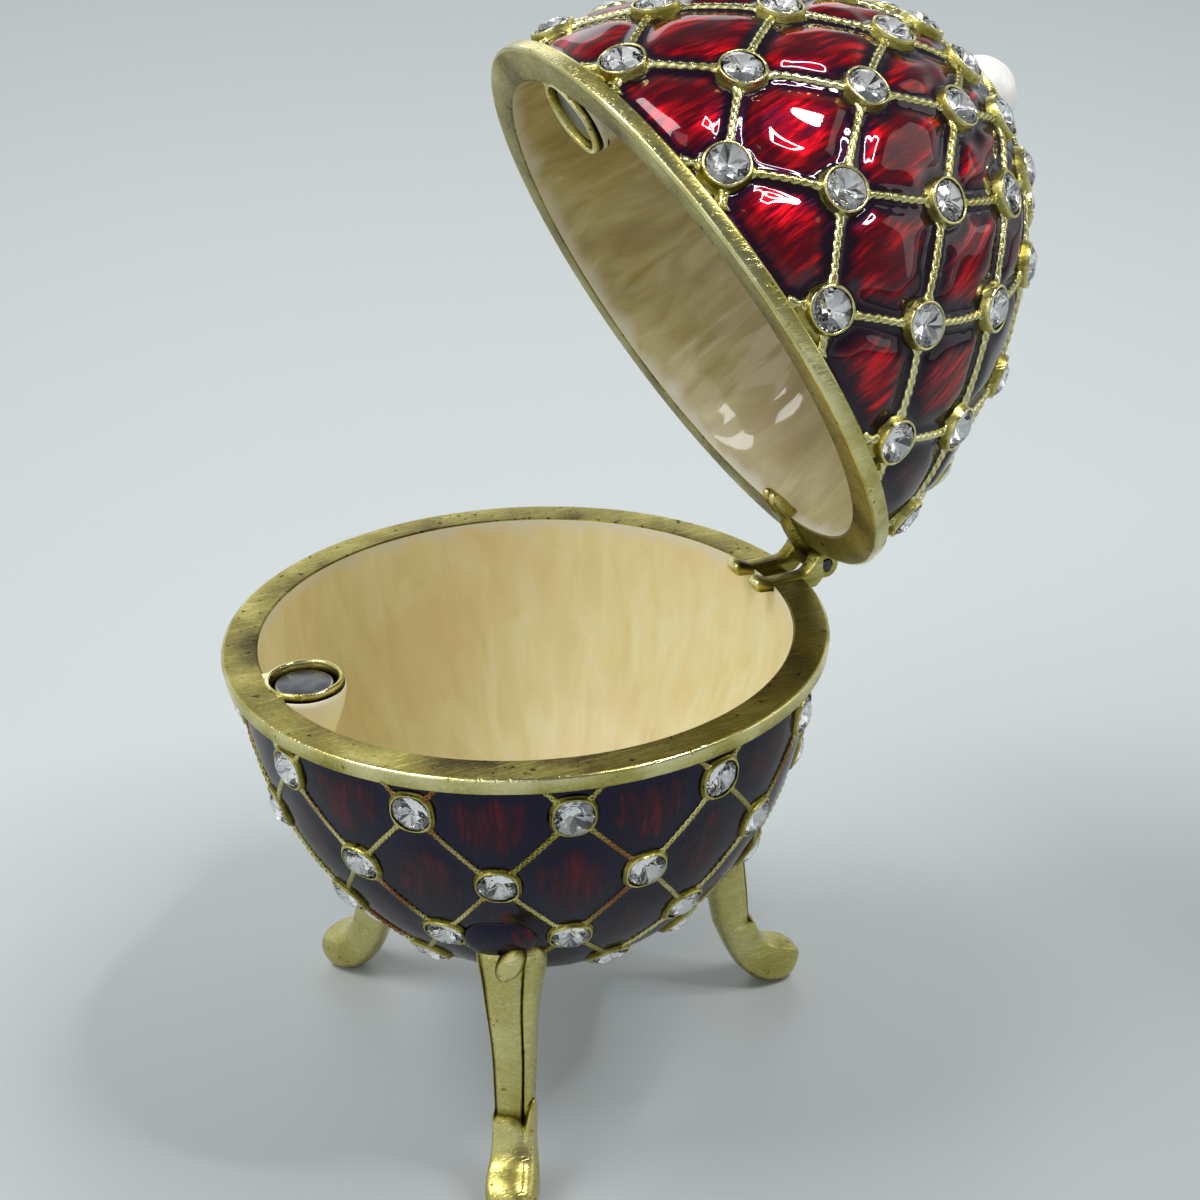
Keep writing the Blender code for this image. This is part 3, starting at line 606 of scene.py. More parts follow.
# Each half: the colours of deep, middling and thin enamel, the lay of the brush strokes, how far
# from the ropes the glow begins, and how much of the strokes shows.
for half, deep, mid, bright, lay, glow_from, contrast in (
    # The bowl's row is a darker copy of the same enamel: painted shade, as its cells face down.
    (bowl, "#100A2A", "#34091C", "#6C1022", 0.0, 0.7, (0.11, 0.25, 0.50)),
    (lid, "#200A1E", "#680312", "#E4101E", 0.95, 0.5, (0.05, 0.23, 0.44)),
):
    # Wine enamel: coloured glass over brushed foil, so the brush strokes glow red where the glass
    # is thin, it turns almost black where it is deep by the ropes, and its own surface is a mirror.
    enamel, tree = new_material("wine_enamel_" + half["name"])
    local = add_node(tree, "Attribute", {"attribute_name": "cell"}, {}).outputs["Vector"]
    sway = add_node(tree, "TexNoise", {}, {"Vector": local, "Scale": 1 / SWAY, "Detail": 1.0})
    sway = add_node(
        tree, "VectorMath", {"operation": "MULTIPLY_ADD"},
        {0: sway.outputs["Color"], 1: (SWAY_BY, SWAY_BY, 0.0), 2: local},
    )
    strokes = []
    for scale in (FINE_STROKES, BROAD_STROKES):
        laid = add_node(
            tree, "Mapping", {}, {"Vector": sway, "Rotation": (0.0, 0.0, lay), "Scale": scale}
        )
        strokes.append(add_node(tree, "TexNoise", {}, {"Vector": laid, "Scale": 1.0, "Detail": 3.0}))
    streak, broad = strokes
    # The border holds the enamel's depth by the ropes and, on the lid's hinge side, painted shade.
    depth = add_node(tree, "Attribute", {"attribute_name": "border"}, {}).outputs["Fac"]
    ragged = add_node(tree, "Math", {"operation": "MULTIPLY_ADD"}, {0: streak, 1: 1.6, 2: depth})
    inner = add_node(
        tree, "MapRange", {"interpolation_type": "SMOOTHSTEP"},
        {"Value": ragged, "From Min": glow_from + 0.6, "From Max": glow_from + 2.3},
    )
    glow = add_node(tree, "Math", {"operation": "MULTIPLY"}, {0: streak, 1: broad})
    glow = add_node(tree, "Math", {"operation": "MULTIPLY"}, {0: glow, 1: inner})
    stops = list(zip(contrast, (deep, mid, bright)))
    colour = add_node(tree, "ValToRGB", {"stops": stops}, {"Fac": glow})
    stroke = add_node(tree, "Bump", {}, {"Strength": 0.7, "Distance": 0.1 * MM, "Height": streak})
    shader = add_node(
        tree, "BsdfPrincipled", {},
        {
            "Base Color": colour,
            "Metallic": 0.6,
            "Roughness": 0.34,
            "Specular IOR Level": 0.0,
            "Specular Tint": "#5A0612",
            "Normal": stroke,
            "Coat Weight": half["gloss"],
            "Coat Roughness": 0.02,
        },
    )
    add_node(tree, "OutputMaterial", {}, {"Surface": shader})
    shell = half.pop("enamel")
    piece(half["name"] + "_enamel", shell, enamel, half, [half["name"]], 180)
    half["finish"] = enamel

# ---------------------------------------------------------------------------
# Rope trellis
# Three-strand twisted ropes, cast with each half and gilt. On the lid they stand clear of the
# enamel, and on the bowl they are thinner and the enamel floods some of their strands.


def rope_frames(egg, start, end, count, out):
    """Matrices along a rope: X across it, Y along it and Z out of the egg."""
    frames = []
    for t in np.linspace(0, 1, count):
        place = egg.frame(*between(start, end, t), out)
        local = place.inverted() @ egg.point(*between(start, end, t + 0.01))
        frames.append(place @ Matrix.Rotation(math.atan2(local.y, local.x) - math.pi / 2, 4, "Z"))
    return frames


STRANDS = 3
VALLEY, CREST = 0.66, 1.02
FLARE, FLARE_LENGTH = 0.9, 0.5 * MM
# Each half: the rope's height over its width, one strand's length along it, how far its axis
# stands out, its sides, the length of one ring of faces, and how dull it is left.
for half, tall, lay, out, sides, ring_length, dull in (
    (bowl, 0.9, 0.62 * MM, 0.06 * MM, 8, 0.13 * MM, -0.24),
    (lid, 1.1, 0.80 * MM, 0.20 * MM, 12, 0.16 * MM, -0.06),
):
    egg, radius = half["egg"], half["rope_radius"]
    trellis = bmesh.new()
    for n, (start, end) in enumerate(half["ropes"]):
        length = (egg.point(*end) - egg.point(*start)).length
        clear = (COLLET - 0.3 * MM) / length
        t_from = 0.0 if start[1] == half["band"] else clear
        t_to = 1.0 if end[1] > half["arcs"][-1] else 1 - clear
        ends = [between(start, end, t) for t in (t_from, t_to)]
        run = length * (t_to - t_from)
        rings = max(int(run / ring_length), 2)
        rope = bmesh.new()
        bmesh.ops.create_cone(rope, cap_ends=True, segments=sides, radius1=1, radius2=1, depth=1)
        uprights = [edge for edge in rope.edges if abs(edge.verts[0].co.z - edge.verts[1].co.z) > 0.5]
        bmesh.ops.subdivide_edges(rope, edges=uprights, cuts=rings - 1, use_grid_fill=True)
        frames = rope_frames(egg, *ends, rings + 1, out)
        wear_and_shade = rope.verts.layers.float.new("wear_and_shade")
        for vert in rope.verts:
            along = vert.co.z + 0.5
            angle = math.atan2(vert.co.y, vert.co.x)
            twist = math.tau * along * run / (STRANDS * lay) + n * 1.7
            ridge = abs(math.cos(STRANDS / 2 * (angle - twist)))
            strand = VALLEY + (CREST - VALLEY) * ridge
            vert[wear_and_shade] = 0.65 * ease(ridge / 0.8) + dull + 0.3 * noise.noise(frames[0].translation * 90)
            from_end = min(along, 1 - along) * run
            flare = 1 + FLARE * math.exp(-((from_end / FLARE_LENGTH) ** 2))
            flat = vert.co.xy * radius * strand * flare
            vert.co = frames[round(along * rings)] @ Vector((flat.x, 0, flat.y * tall / flare))
        roughen(rope, 420, 0.22 * radius)
        join(trellis, rope)
    if half is bowl:
        stain = trellis.verts.layers.float.new("stain")
        for vert in trellis.verts:
            vert[stain] = 0.8 * ease(1.7 * noise.noise(vert.co * 150 + Vector((5.2, 1.1, 0.7))) + 0.02)
    piece(half["name"] + "_ropes", trellis, gilt, half, sharp_from=180)

# ---------------------------------------------------------------------------
# Cast webs
# On the lid the small triangle between each first-row collet and the rim isn't enamelled: it is
# solid metal, rough and pitted as it left the mould, and gilt.

webs = bmesh.new()
egg = lid["egg"]
for turn, arc in lid["crossings"][:STONES]:
    web = bmesh.new()
    bmesh.ops.create_grid(web, x_segments=16, y_segments=10, size=1.0)
    far = arc - COLLET * 0.6
    for vert in web.verts:
        here = lid["band"] - 0.2 * MM + (far - lid["band"] + 0.2 * MM) * (vert.co.y + 1) / 2
        half_width = PITCH / 2 * (arc - here) / (arc - lid["above"])
        across = vert.co.x * half_width
        vert.co = egg.point(turn + across, here)
        hollow = noise.noise(vert.co * 620) + 0.5 * noise.noise(vert.co * 1500)
        vert.co = egg.point(turn + across, here, 0.30 * MM + 0.35 * MM * min(hollow, 0.2))
    bmesh.ops.solidify(web, geom=web.faces[:], thickness=0.5 * MM)
    join(webs, web)
set_wear_and_shade(webs, lambda co: 0.10 + 0.9 * min(noise.noise(co * 620) + 0.5 * noise.noise(co * 1500), 0.15))
piece("lid_cast_webs", webs, gilt, lid, sharp_from=180)

# ---------------------------------------------------------------------------
# Collets
# A round cup cast at each crossing to hold a stone. The lid's stand tall on a flared foot, and
# the bowl's are low pads, drawn out into four corners where the ropes run in.

SEAT = 1.66 * MM
pad = [(2.08 * MM, -0.8 * MM), (2.02 * MM, 0.06 * MM), (1.88 * MM, 0.16 * MM)]
pad += rounded((1.75 * MM, 0.31 * MM), 0.09 * MM, 0, 180, 5)
pad += [(SEAT, 0.0), (1.3 * MM, -0.35 * MM), (0.05 * MM, -0.75 * MM)]
cup = [(2.16 * MM, -0.3 * MM), (2.02 * MM, 0.2 * MM), (1.93 * MM, 0.55 * MM)]
cup += rounded((1.78 * MM, 0.84 * MM), 0.12 * MM, 0, 180, 6)
cup += [(SEAT, 0.55 * MM), (1.3 * MM, 0.2 * MM), (0.05 * MM, -0.15 * MM)]
# Each half: the collet's side, how far its corners are drawn out, its top, the wear of its lip.
for half, profile, corners, top, lip_wear in (
    (bowl, pad, 0.10, 0.40 * MM, 0.22),
    (lid, cup, 0.04, 0.96 * MM, 0.40),
):
    half["collet_top"] = top
    foot = profile[0][1]
    model = lathe(profile + [(0.05 * MM, foot)], 36)
    for vert in model.verts:
        if vert.co.xy.length > SEAT:
            low = 1 - (vert.co.z - foot) / (top - foot) * 0.7
            vert.co.xy *= 1 - corners * low * math.cos(4 * math.atan2(vert.co.y, vert.co.x))
    mesh = bpy.data.meshes.new("collet")
    model.to_mesh(mesh)
    model.free()

    def collet_wear(co):
        """Black in the seat, rubbed on the lip and duller below it."""
        if co.xy.length < SEAT + 0.01 * MM:
            return -0.4
        return lip_wear - 0.3 * (co.z < top - 0.2 * MM)

    collets = bmesh.new()
    for turn, arc in half["stones"]:
        one = bmesh.new()
        one.from_mesh(mesh)
        set_wear_and_shade(one, collet_wear)
        move(one, half["egg"].frame(turn, arc))
        roughen(one, 420, 0.06 * MM)
        join(collets, one)
    piece(half["name"] + "_collets", collets, gilt, half)

# ---------------------------------------------------------------------------
# Stones
# Round lead crystal chatons with a flat table, eight star and eight main facets above the girdle
# and a cone of facets below it, silvered and lacquered behind, each glued in its collet.

# Lead crystal: polished clear glass with a high index, so that its facets flash.
crystal, tree = new_material("crystal_glass")
shader = add_node(
    tree, "BsdfPrincipled", {},
    {"Base Color": "#FFFFFF", "Roughness": 0.0, "IOR": 1.56, "Transmission Weight": 1.0},
)
add_node(tree, "OutputMaterial", {}, {"Surface": shader})

# Silvered foil: a bright backing with painted reflections, dark on some facets and white on others, so that
# each stone glints its own way.
foil, tree = new_material("silvered_foil")
painted_glint = add_node(tree, "Attribute", {"attribute_name": "painted_glint"}, {}).outputs["Fac"]
SILVERS = [(0.0, "#3C3B3B"), (0.35, "#B8B6B3"), (0.6, "#F0EEEA"), (1.0, "#FFFFFF")]
tone = add_node(tree, "ValToRGB", {"stops": SILVERS}, {"Fac": painted_glint})
shader = add_node(tree, "BsdfPrincipled", {}, {"Base Color": tone, "Metallic": 0.3, "Roughness": 0.2})
add_node(tree, "OutputMaterial", {}, {"Surface": shader})

GIRDLE = 1.62 * MM
POINT = -0.80 * MM
BACKING_GAP = 0.02 * MM
SUNK = 0.10 * MM
TILT = 0.09
PAINTED_GLINTS = (0.0, 0.3, 0.6, 0.9, 1.0, 1.0, 1.0)


def faceted(circles, point=None):
    """A convex stone on circles of points, each as (count, radius, height, share of a step turned)."""
    bm = bmesh.new()
    for count, radius, height, share in circles:
        place = Matrix.Translation((0, 0, height)) @ Matrix.Rotation(share * math.tau / count, 4, "Z")
        bmesh.ops.create_circle(bm, segments=count, radius=radius, matrix=place)
    if point:
        bmesh.ops.create_vert(bm, co=(0, 0, point))
    bmesh.ops.convex_hull(bm, input=bm.verts)
    bmesh.ops.recalc_face_normals(bm, faces=bm.faces)
    return bm


girdles = [(16, GIRDLE, 0.02 * MM, 0), (16, GIRDLE, -0.06 * MM, 0)]
pavilion = [(8, 0.80 * MM, -0.46 * MM, 0.5)]
crown = [(8, 0.82 * MM, 0.52 * MM, 0), (8, 1.27 * MM, 0.30 * MM, 0.5)]
whole = faceted(crown + girdles + pavilion, POINT)
backing = faceted(girdles[1:] + pavilion, POINT)
bmesh.ops.delete(backing, geom=[face for face in backing.faces if face.normal.z > 0.9], context="FACES")
bmesh.ops.translate(backing, vec=(0, 0, -BACKING_GAP), verts=backing.verts)
models = []
for shape in (whole, backing):
    models.append(bpy.data.meshes.new("stone"))
    shape.to_mesh(models[-1])
    shape.free()
for half in (bowl, lid):
    rng = random.Random(7)
    glass, backs = bmesh.new(), bmesh.new()
    for turn, arc in half["stones"]:
        tilt = Matrix.Rotation(rng.uniform(-TILT, TILT), 4, "X")
        tilt = tilt @ Matrix.Rotation(rng.uniform(-TILT, TILT), 4, "Y")
        place = half["egg"].frame(turn, arc, half["collet_top"] - SUNK) @ tilt
        place = place @ Matrix.Rotation(rng.uniform(0, math.tau), 4, "Z")
        for target, model in ((glass, models[0]), (backs, models[1])):
            one = bmesh.new()
            one.from_mesh(model)
            move(one, place)
            if target is backs:
                # Each facet of the backing gets a painted reflection, from dark grey to white.
                layer = one.faces.layers.float.new("painted_glint")
                for face in one.faces:
                    face[layer] = rng.choice(PAINTED_GLINTS)
            join(target, one)
    piece(half["name"] + "_stones", glass, crystal, half, sharp_from=1)
    piece(half["name"] + "_stone_foils", backs, foil, half, sharp_from=1)

# ---------------------------------------------------------------------------
# Linings
# Cream pearlescent enamel, brushed round the inside of each half and down over the boss of its
# magnet cup. It is glossy and a little uneven, with the brush's streaks still in it.

BRUSH_MARKS = 10.0
BRUSH_LENGTH = 7 * MM
PATCH = MM / 0.075
bowl["lining_gloss"], lid["lining_gloss"] = 0.2, 0.05
# On the lid the cream is painted paler towards the hinge: a painted sheen, not thicker enamel.
bowl["pooled"], lid["pooled"] = 0.0, 0.2
# Each half: the colours of thick, middling and thin enamel and of its tan patches, the depth of
# its waves and their number round the half.
for half, pale, warm, shade, tan, wave, ridges in (
    (bowl, "#F4ECC2", "#F1E5B2", "#EADCA6", "#EACB96", 0.05 * MM, 9.0),
    # The lid's colours are a darker copy of the bowl's cream: painted shade, as the open lid's inside faces
    # down.
    (lid, "#CEC088", "#BDAC6C", "#A79452", "#A5803F", 0.26 * MM, 7.0),
):
    cream, tree = new_material("cream_enamel_" + half["name"])
    brushed = add_node(tree, "Attribute", {"attribute_name": "brushed"}, {}).outputs["Vector"]
    brush = add_node(
        tree, "TexNoise", {},
        {"Vector": brushed, "Scale": 1.0, "Detail": 5.0, "Distortion": 0.7},
    )
    stops = [(0.30, shade), (0.48, warm), (0.62, pale)]
    colour = add_node(tree, "ValToRGB", {"stops": stops}, {"Fac": brush})
    place = add_node(tree, "TexCoord", {}, {}).outputs["Object"]
    patch = add_node(
        tree, "TexNoise", {},
        {"Vector": place, "Scale": 1 / PATCH, "Detail": 3.0, "Distortion": 0.5},
    )
    patch = add_node(
        tree, "MapRange", {}, {"Value": patch, "From Min": 0.5, "From Max": 0.75, "To Max": 0.6}
    )
    colour = add_node(tree, "Mix", {"data_type": "RGBA"}, {"Factor": patch, 6: colour, 7: tan})
    # Paler in a ragged band below the rim and over the boss, and on the lid a painted sheen towards the
    # hinge.
    pale_and_sheen = add_node(tree, "Attribute", {"attribute_name": "pale_and_sheen"}, {}).outputs["Fac"]
    colour = add_node(
        tree, "Mix", {"data_type": "RGBA"}, {"Factor": pale_and_sheen, 6: colour.outputs[2], 7: "#E9E5D6"}
    )
    uneven = add_node(tree, "Bump", {}, {"Strength": 0.25, "Distance": 0.12 * MM, "Height": brush})
    shader = add_node(
        tree, "BsdfPrincipled", {},
        {
            "Base Color": colour.outputs[2],
            "Roughness": 0.42,
            "Normal": uneven,
            "Coat Weight": 0.8,
            "Coat Roughness": half["lining_gloss"],
        },
    )
    add_node(tree, "OutputMaterial", {}, {"Surface": shader})

    inner = Egg(OPENING_RADIUS, half["egg"].depth[-1] - 1.9 * MM, 2.0 if half is bowl else 1.8)
    lining = lathe(inner.side(0.12 * MM, inner.arc[-1], 90), 200, closed=False)
    turn_faces(lining, outwards=False)
    for vert in lining.verts:
        turn = math.atan2(vert.co.y, vert.co.x)
        round_about = Vector((math.cos(turn), math.sin(turn), 0)) * ridges / math.pi
        ripple = noise.noise(round_about * 3 + Vector((0, 0, vert.co.z * 70)))
        ripple += 0.8 * noise.noise(round_about * 9 + Vector((0, 0, vert.co.z * 120)))
        ripple += 0.2 * noise.noise(round_about * 20 + Vector((0, 0, vert.co.z * 260)))
        vert.co -= vert.co.normalized() * wave * (1 + ripple) * ease(vert.co.z / (4 * MM))

    # The boss under the magnet cup, a half drop that dies away down the wall.
    boss_radius = CUP_RADIUS + 0.05 * MM
    bore = cup_bore + 0.3 * MM
    boss = [(0.0, 2.3 * MM), (bore, 2.3 * MM), (bore, 0.55 * MM), (boss_radius, 0.75 * MM)]
    boss += [(boss_radius * math.cos(t), (1.2 + 7.8 * math.sin(t)) * MM) for t in np.linspace(0, 1.55, 14)]
    boss = lathe(boss + [(0.0, 9.1 * MM)], 64, closed=False)
    for vert in boss.verts:
        vert.co.y -= 0.22 * max(vert.co.z - 1.2 * MM, 0.0)
        vert.co += noise.noise_vector(vert.co * 200) * 0.12 * MM * ease(vert.co.z / (4 * MM))
    move(boss, to_magnet)
    join(lining, boss)
    layer = lining.verts.layers.float_vector.new("brushed")
    pale_edge_and_sheen = lining.verts.layers.float.new("pale_and_sheen")
    for vert in lining.verts:
        turn = math.atan2(vert.co.y, vert.co.x)
        down = inner.arc_at(min(vert.co.z, inner.depth[-1]))
        vert[layer] = (BRUSH_MARKS * math.cos(turn), BRUSH_MARKS * math.sin(turn), down / BRUSH_LENGTH)
        ragged = 1 + noise.noise(Vector((turn * 9, 0, 0)))
        from_cup = (vert.co.xy - Vector((0, MAGNET_Y))).length - CUP_RADIUS
        over_boss = 0.6 * ease(1 - from_cup / MM) * ease(1.3 - down / (4 * MM))
        # A painted sheen, paler towards the hinge on the lid.
        pooled = half["pooled"] * ease((vert.co.y - 12 * MM) / (9 * MM))
        vert[pale_edge_and_sheen] = max(ease(1 - down / (ragged * 1.6 * MM)), over_boss, pooled)
    piece(half["name"] + "_lining", lining, cream, half, sharp_from=180)

# ---------------------------------------------------------------------------
# Legs
# Three cabriole legs cast with the bowl and gilt. Each has a flat front between two grooves, a
# scalloped apron above the foot, an upturned toe, and at its top a gold drop with an enamel tongue.

# Each section: (outer face, back face, width, groove), a face as (distance from the axis, depth
# below the rim), all in millimetres.
LEG_SECTIONS = (
    ((18.2, 18.9), (14.6, 23.4), 6.4, 0.0),
    ((20.0, 19.8), (15.2, 25.2), 6.0, 0.5),
    ((20.3, 22.3), (16.0, 27.0), 4.9, 1.0),
    ((20.5, 25.5), (16.6, 28.6), 4.3, 1.0),
    ((20.7, 29.0), (17.0, 30.8), 3.9, 1.0),
    ((21.1, 32.4), (17.4, 33.4), 3.7, 1.0),
    ((21.25, 35.0), (17.8, 35.6), 3.5, 1.3),
    ((21.3, 35.5), (17.9, 36.1), 3.5, 1.3),
    ((21.85, 35.8), (18.0, 36.4), 4.0, 0.0),
    ((22.4, 37.6), (18.9, 38.8), 3.8, 0.0),
    ((23.3, 38.9), (20.2, 41.5), 4.3, 0.0),
    ((24.7, 39.3), (22.2, 43.8), 4.8, 0.0),
    ((26.0, 39.9), (24.6, 44.3), 4.5, 0.0),
    ((26.8, 41.1), (26.3, 43.5), 3.0, 0.0),
)
# Round one section: (share of the half width, share of the depth from the outer face, groove).
LEG_OUTLINE = (
    (-1.0, 0.38, 0.0), (-0.93, 0.12, 0.0), (-0.86, 0.07, 0.9), (-0.78, 0.05, 0.0), (-0.3, 0.0, 0.0),
    (0.15, 0.0, 0.0), (0.41, 0.03, 0.0), (0.46, 0.05, 1.0), (0.51, 0.06, 0.0), (0.82, 0.12, 0.0),
    (1.0, 0.38, 0.0), (0.95, 0.72, 0.0), (0.5, 0.97, 0.0), (-0.5, 0.97, 0.0), (-0.95, 0.72, 0.0),
)
GROOVE = 0.36 * MM
APRON = (7, 8)
FOOT = 10
SHINE = 0.31
# The drop and the tongue of a leg: (distance from the axis, along the rim, below it), and radii.
DROP_PLACE = (19.85 * MM, -0.25 * MM, 20.9 * MM)
DROP_SIZE = (1.0 * MM, 1.1 * MM, 1.95 * MM, 1)
TONGUE_PLACE = (19.5 * MM, 0.55 * MM, 18.6 * MM)
TONGUE_SIZE = (1.15 * MM, 3.1 * MM, 2.8 * MM, 1)


def close(bm):
    """Fills a shape's open ends."""
    bmesh.ops.holes_fill(bm, edges=[edge for edge in bm.edges if edge.is_boundary])


def cut(bm, place, away):
    """Cuts off what lies past a plane, and closes the cut."""
    bmesh.ops.bisect_plane(
        bm, geom=bm.verts[:] + bm.edges[:] + bm.faces[:], plane_co=place, plane_no=away, clear_outer=True
    )
    close(bm)


legs, drops, tongues = bmesh.new(), bmesh.new(), bmesh.new()
for turn in LEG_TURNS:
    made = bmesh.new()
    dark = made.verts.layers.float.new("wear_and_shade")
    loops = []
    for i, ((out_rho, out_z), (in_rho, in_z), width, groove) in enumerate(LEG_SECTIONS):
        outer, inner = Vector((out_rho, 0, out_z)) * MM, Vector((in_rho, 0, in_z)) * MM
        inward = (inner - outer).normalized()
        loop = []
        for across, deep, share in LEG_OUTLINE:
            point = outer.lerp(inner, deep) + inward * share * groove * GROOVE
            point.y = -across * width / 2 * MM
            if i in APRON and deep < 0.5:
                notch = math.exp(-(((across - 0.46) / 0.18) ** 2))
                point.z += (0.8 * notch - 3.6 * max(across - 0.5, 0.0)) * MM
            vert = made.verts.new(point)
            vert[dark] = SHINE - 0.9 * share * min(groove, 1.0)
            if i == APRON[0] and deep < 0.3:
                vert[dark] -= 0.5
            if i >= FOOT:
                vert[dark] -= 0.08
            loop.append(vert)
        loops.append([made.edges.new((a, b)) for a, b in zip(loop, loop[1:] + loop[:1])])
    for near_loop, far_loop in zip(loops, loops[1:]):
        bmesh.ops.bridge_loops(made, edges=near_loop + far_loop)
    close(made)
    bmesh.ops.recalc_face_normals(made, faces=made.faces)
    made = modified(made, "SUBSURF", {"levels": 3, "render_levels": 3})
    for vert in made.verts:
        vert.co += noise.noise_vector(vert.co * 180 + Vector((turn, 0, 0))) * 0.10 * MM
    around = Matrix.Rotation(math.pi - turn, 4, "Z")
    move(made, around)
    cut(made, (0, 0, rim_height), (0, 0, 1))
    join(legs, made)

    drop = bmesh.new()
    lean = Matrix.Translation(DROP_PLACE) @ Matrix.Rotation(0.12, 4, "Y") @ Matrix.Rotation(-0.5, 4, "X")
    size = Matrix.Diagonal(DROP_SIZE)
    bmesh.ops.create_uvsphere(drop, u_segments=32, v_segments=20, radius=1.0, matrix=around @ lean @ size)
    join(drops, drop)

    tongue = bmesh.new()
    lean = Matrix.Translation(TONGUE_PLACE) @ Matrix.Rotation(-0.45, 4, "Y")
    lean = lean @ Matrix.Rotation(0.25, 4, "X")
    size = Matrix.Diagonal(TONGUE_SIZE)
    bmesh.ops.create_uvsphere(tongue, u_segments=40, v_segments=24, radius=1.0, matrix=size)
    cell = tongue.verts.layers.float_vector.new("cell")
    border = tongue.verts.layers.float.new("border")
    for vert in tongue.verts:
        vert[cell] = (vert.co.y, vert.co.z, turn)
        vert[border] = 3.5 * ease(-vert.co.y / (1.0 * MM)) * ease(1.2 - abs(vert.co.z) / (2.2 * MM))
    move(tongue, around @ lean)
    join(tongues, tongue)
piece("legs", legs, gilt, bowl, sharp_from=180)
set_wear_and_shade(drops, lambda co: 0.75 * ease((co.xy.length - 20.1 * MM) / (0.6 * MM)) - 0.4)
piece("leg_drops", drops, gilt, bowl, sharp_from=180)
piece("leg_enamel_tongues", tongues, bowl["finish"], bowl, sharp_from=180)

# ---------------------------------------------------------------------------
# Hinge
# Two knuckles on fingers soldered in the bowl's slots, one between them on the lid's forked
# finger, and a steel-coloured pin through all three.

# The hinge is made as it lies when the box is shut, and the lid's part of it then swings open.
shut = {"body": "base", "place": Matrix.Identity(4)}
opened = {"body": "cover", "place": swing}
axle = Matrix.Translation(hinge) @ Matrix.Rotation(math.pi / 2, 4, "Y")
KNUCKLE_RADIUS, KNUCKLE_BORE, KNUCKLE_EDGE = 1.22 * MM, 0.58 * MM, 0.2 * MM
OUTER_FROM, OUTER_TO, MIDDLE_HALF = 1.0 * MM, 2.75 * MM, 0.9 * MM
FINGER_WIDTH, FINGER_EDGE = 1.7 * MM, 0.34 * MM


def knuckle(start, end):
    """One barrel round the hinge's axis, between two places along it."""
    edge = KNUCKLE_EDGE
    low, high, bore, outer = start + edge, end - edge, KNUCKLE_BORE + edge, KNUCKLE_RADIUS - edge
    profile = []
    for rho, z, angle in ((bore, low, 180), (outer, low, 270), (outer, high, 0), (bore, high, 90)):
        profile += rounded((rho, z), edge, angle, angle + 90)
    bm = lathe(profile, 40)
    move(bm, axle)
    return bm


def finger(outline, width, x):
    """A flat finger with round edges, from its side outline as (y, z) from the rim's centre."""
    bm = bmesh.new()
    near_x = x - width / 2
    verts = [bm.verts.new((near_x, axis_y + y * MM, rim_height + z * MM)) for y, z in outline]
    grown = bmesh.ops.extrude_face_region(bm, geom=[bm.faces.new(verts)])["geom"]
    far = [item for item in grown if isinstance(item, bmesh.types.BMVert)]
    bmesh.ops.translate(bm, vec=(width, 0, 0), verts=far)
    bmesh.ops.recalc_face_normals(bm, faces=bm.faces)
    bmesh.ops.bevel(
        bm, geom=bm.edges, offset=FINGER_EDGE, segments=4, profile=0.5, affect="EDGES", material=-1
    )
    return bm


def worn_metal(co):
    """The hinge's uneven wear, as it is handled the most."""
    return 0.02 + 0.5 * noise.noise(co * 450)


# Side outlines in millimetres, as (y from the rim's centre, z from the bowl's rim).
FINGER = (
    (27.9, 1.5), (27.0, 1.25), (26.35, 0.5), (25.9, 0.2), (22.75, 0.2), (22.0, 0.6), (21.4, 0.75),
    (20.9, 0.45), (20.8, -0.15), (21.3, -0.55), (22.6, -0.7), (23.6, -1.3), (27.1, -1.25), (28.0, -0.4),
)
for name, side in (("bowl_knuckle_left", -1), ("bowl_knuckle_right", 1)):
    bm = knuckle(*sorted((side * OUTER_FROM, side * OUTER_TO)))
    join(bm, finger(FINGER, FINGER_WIDTH, side * FINGER_X))
    set_wear_and_shade(bm, lambda co: worn_metal(co) + 0.5 * ease((axis_y + 21.6 * MM - co.y) / (0.6 * MM)))
    piece(name + "_cast", bm, gilt, shut, [name], 40)

LEAF = (
    (28.2, -0.3), (26.6, -0.3), (25.0, -0.4), (23.7, -0.35), (23.3, -0.05), (22.5, -0.05),
    (22.3, 1.2), (24.5, 1.6), (28.2, 1.6),
)
PRONG = (
    (24.0, -0.05), (22.7, -0.05), (22.3, -0.35), (20.4, -0.55), (19.8, -0.3), (19.8, 0.35),
    (20.7, 0.75), (22.2, 1.1), (24.0, 1.3),
)
PRONG_WIDTH, PRONG_X, PRONG_ROOT, PRONG_SPLAY = 0.82 * MM, 0.36 * MM, 23.6 * MM, 0.06
bm = knuckle(-MIDDLE_HALF, MIDDLE_HALF)
join(bm, finger(LEAF, FINGER_WIDTH, 0.0))
for side in (-1, 1):
    prong = finger(PRONG, PRONG_WIDTH, 0.0)
    about = Matrix.Translation((0, axis_y + PRONG_ROOT, 0))
    splay = about @ Matrix.Rotation(side * PRONG_SPLAY, 4, "Z") @ about.inverted()
    splay = Matrix.Translation((side * PRONG_X, 0, 0)) @ splay
    move(prong, splay)
    join(bm, prong)
set_wear_and_shade(bm, lambda co: worn_metal(co) + 0.4 * ease((axis_y + 20.8 * MM - co.y) / (0.6 * MM)))
piece("lid_hinge_leaf_cast", bm, gilt, opened, ["lid_hinge_leaf"], 40)

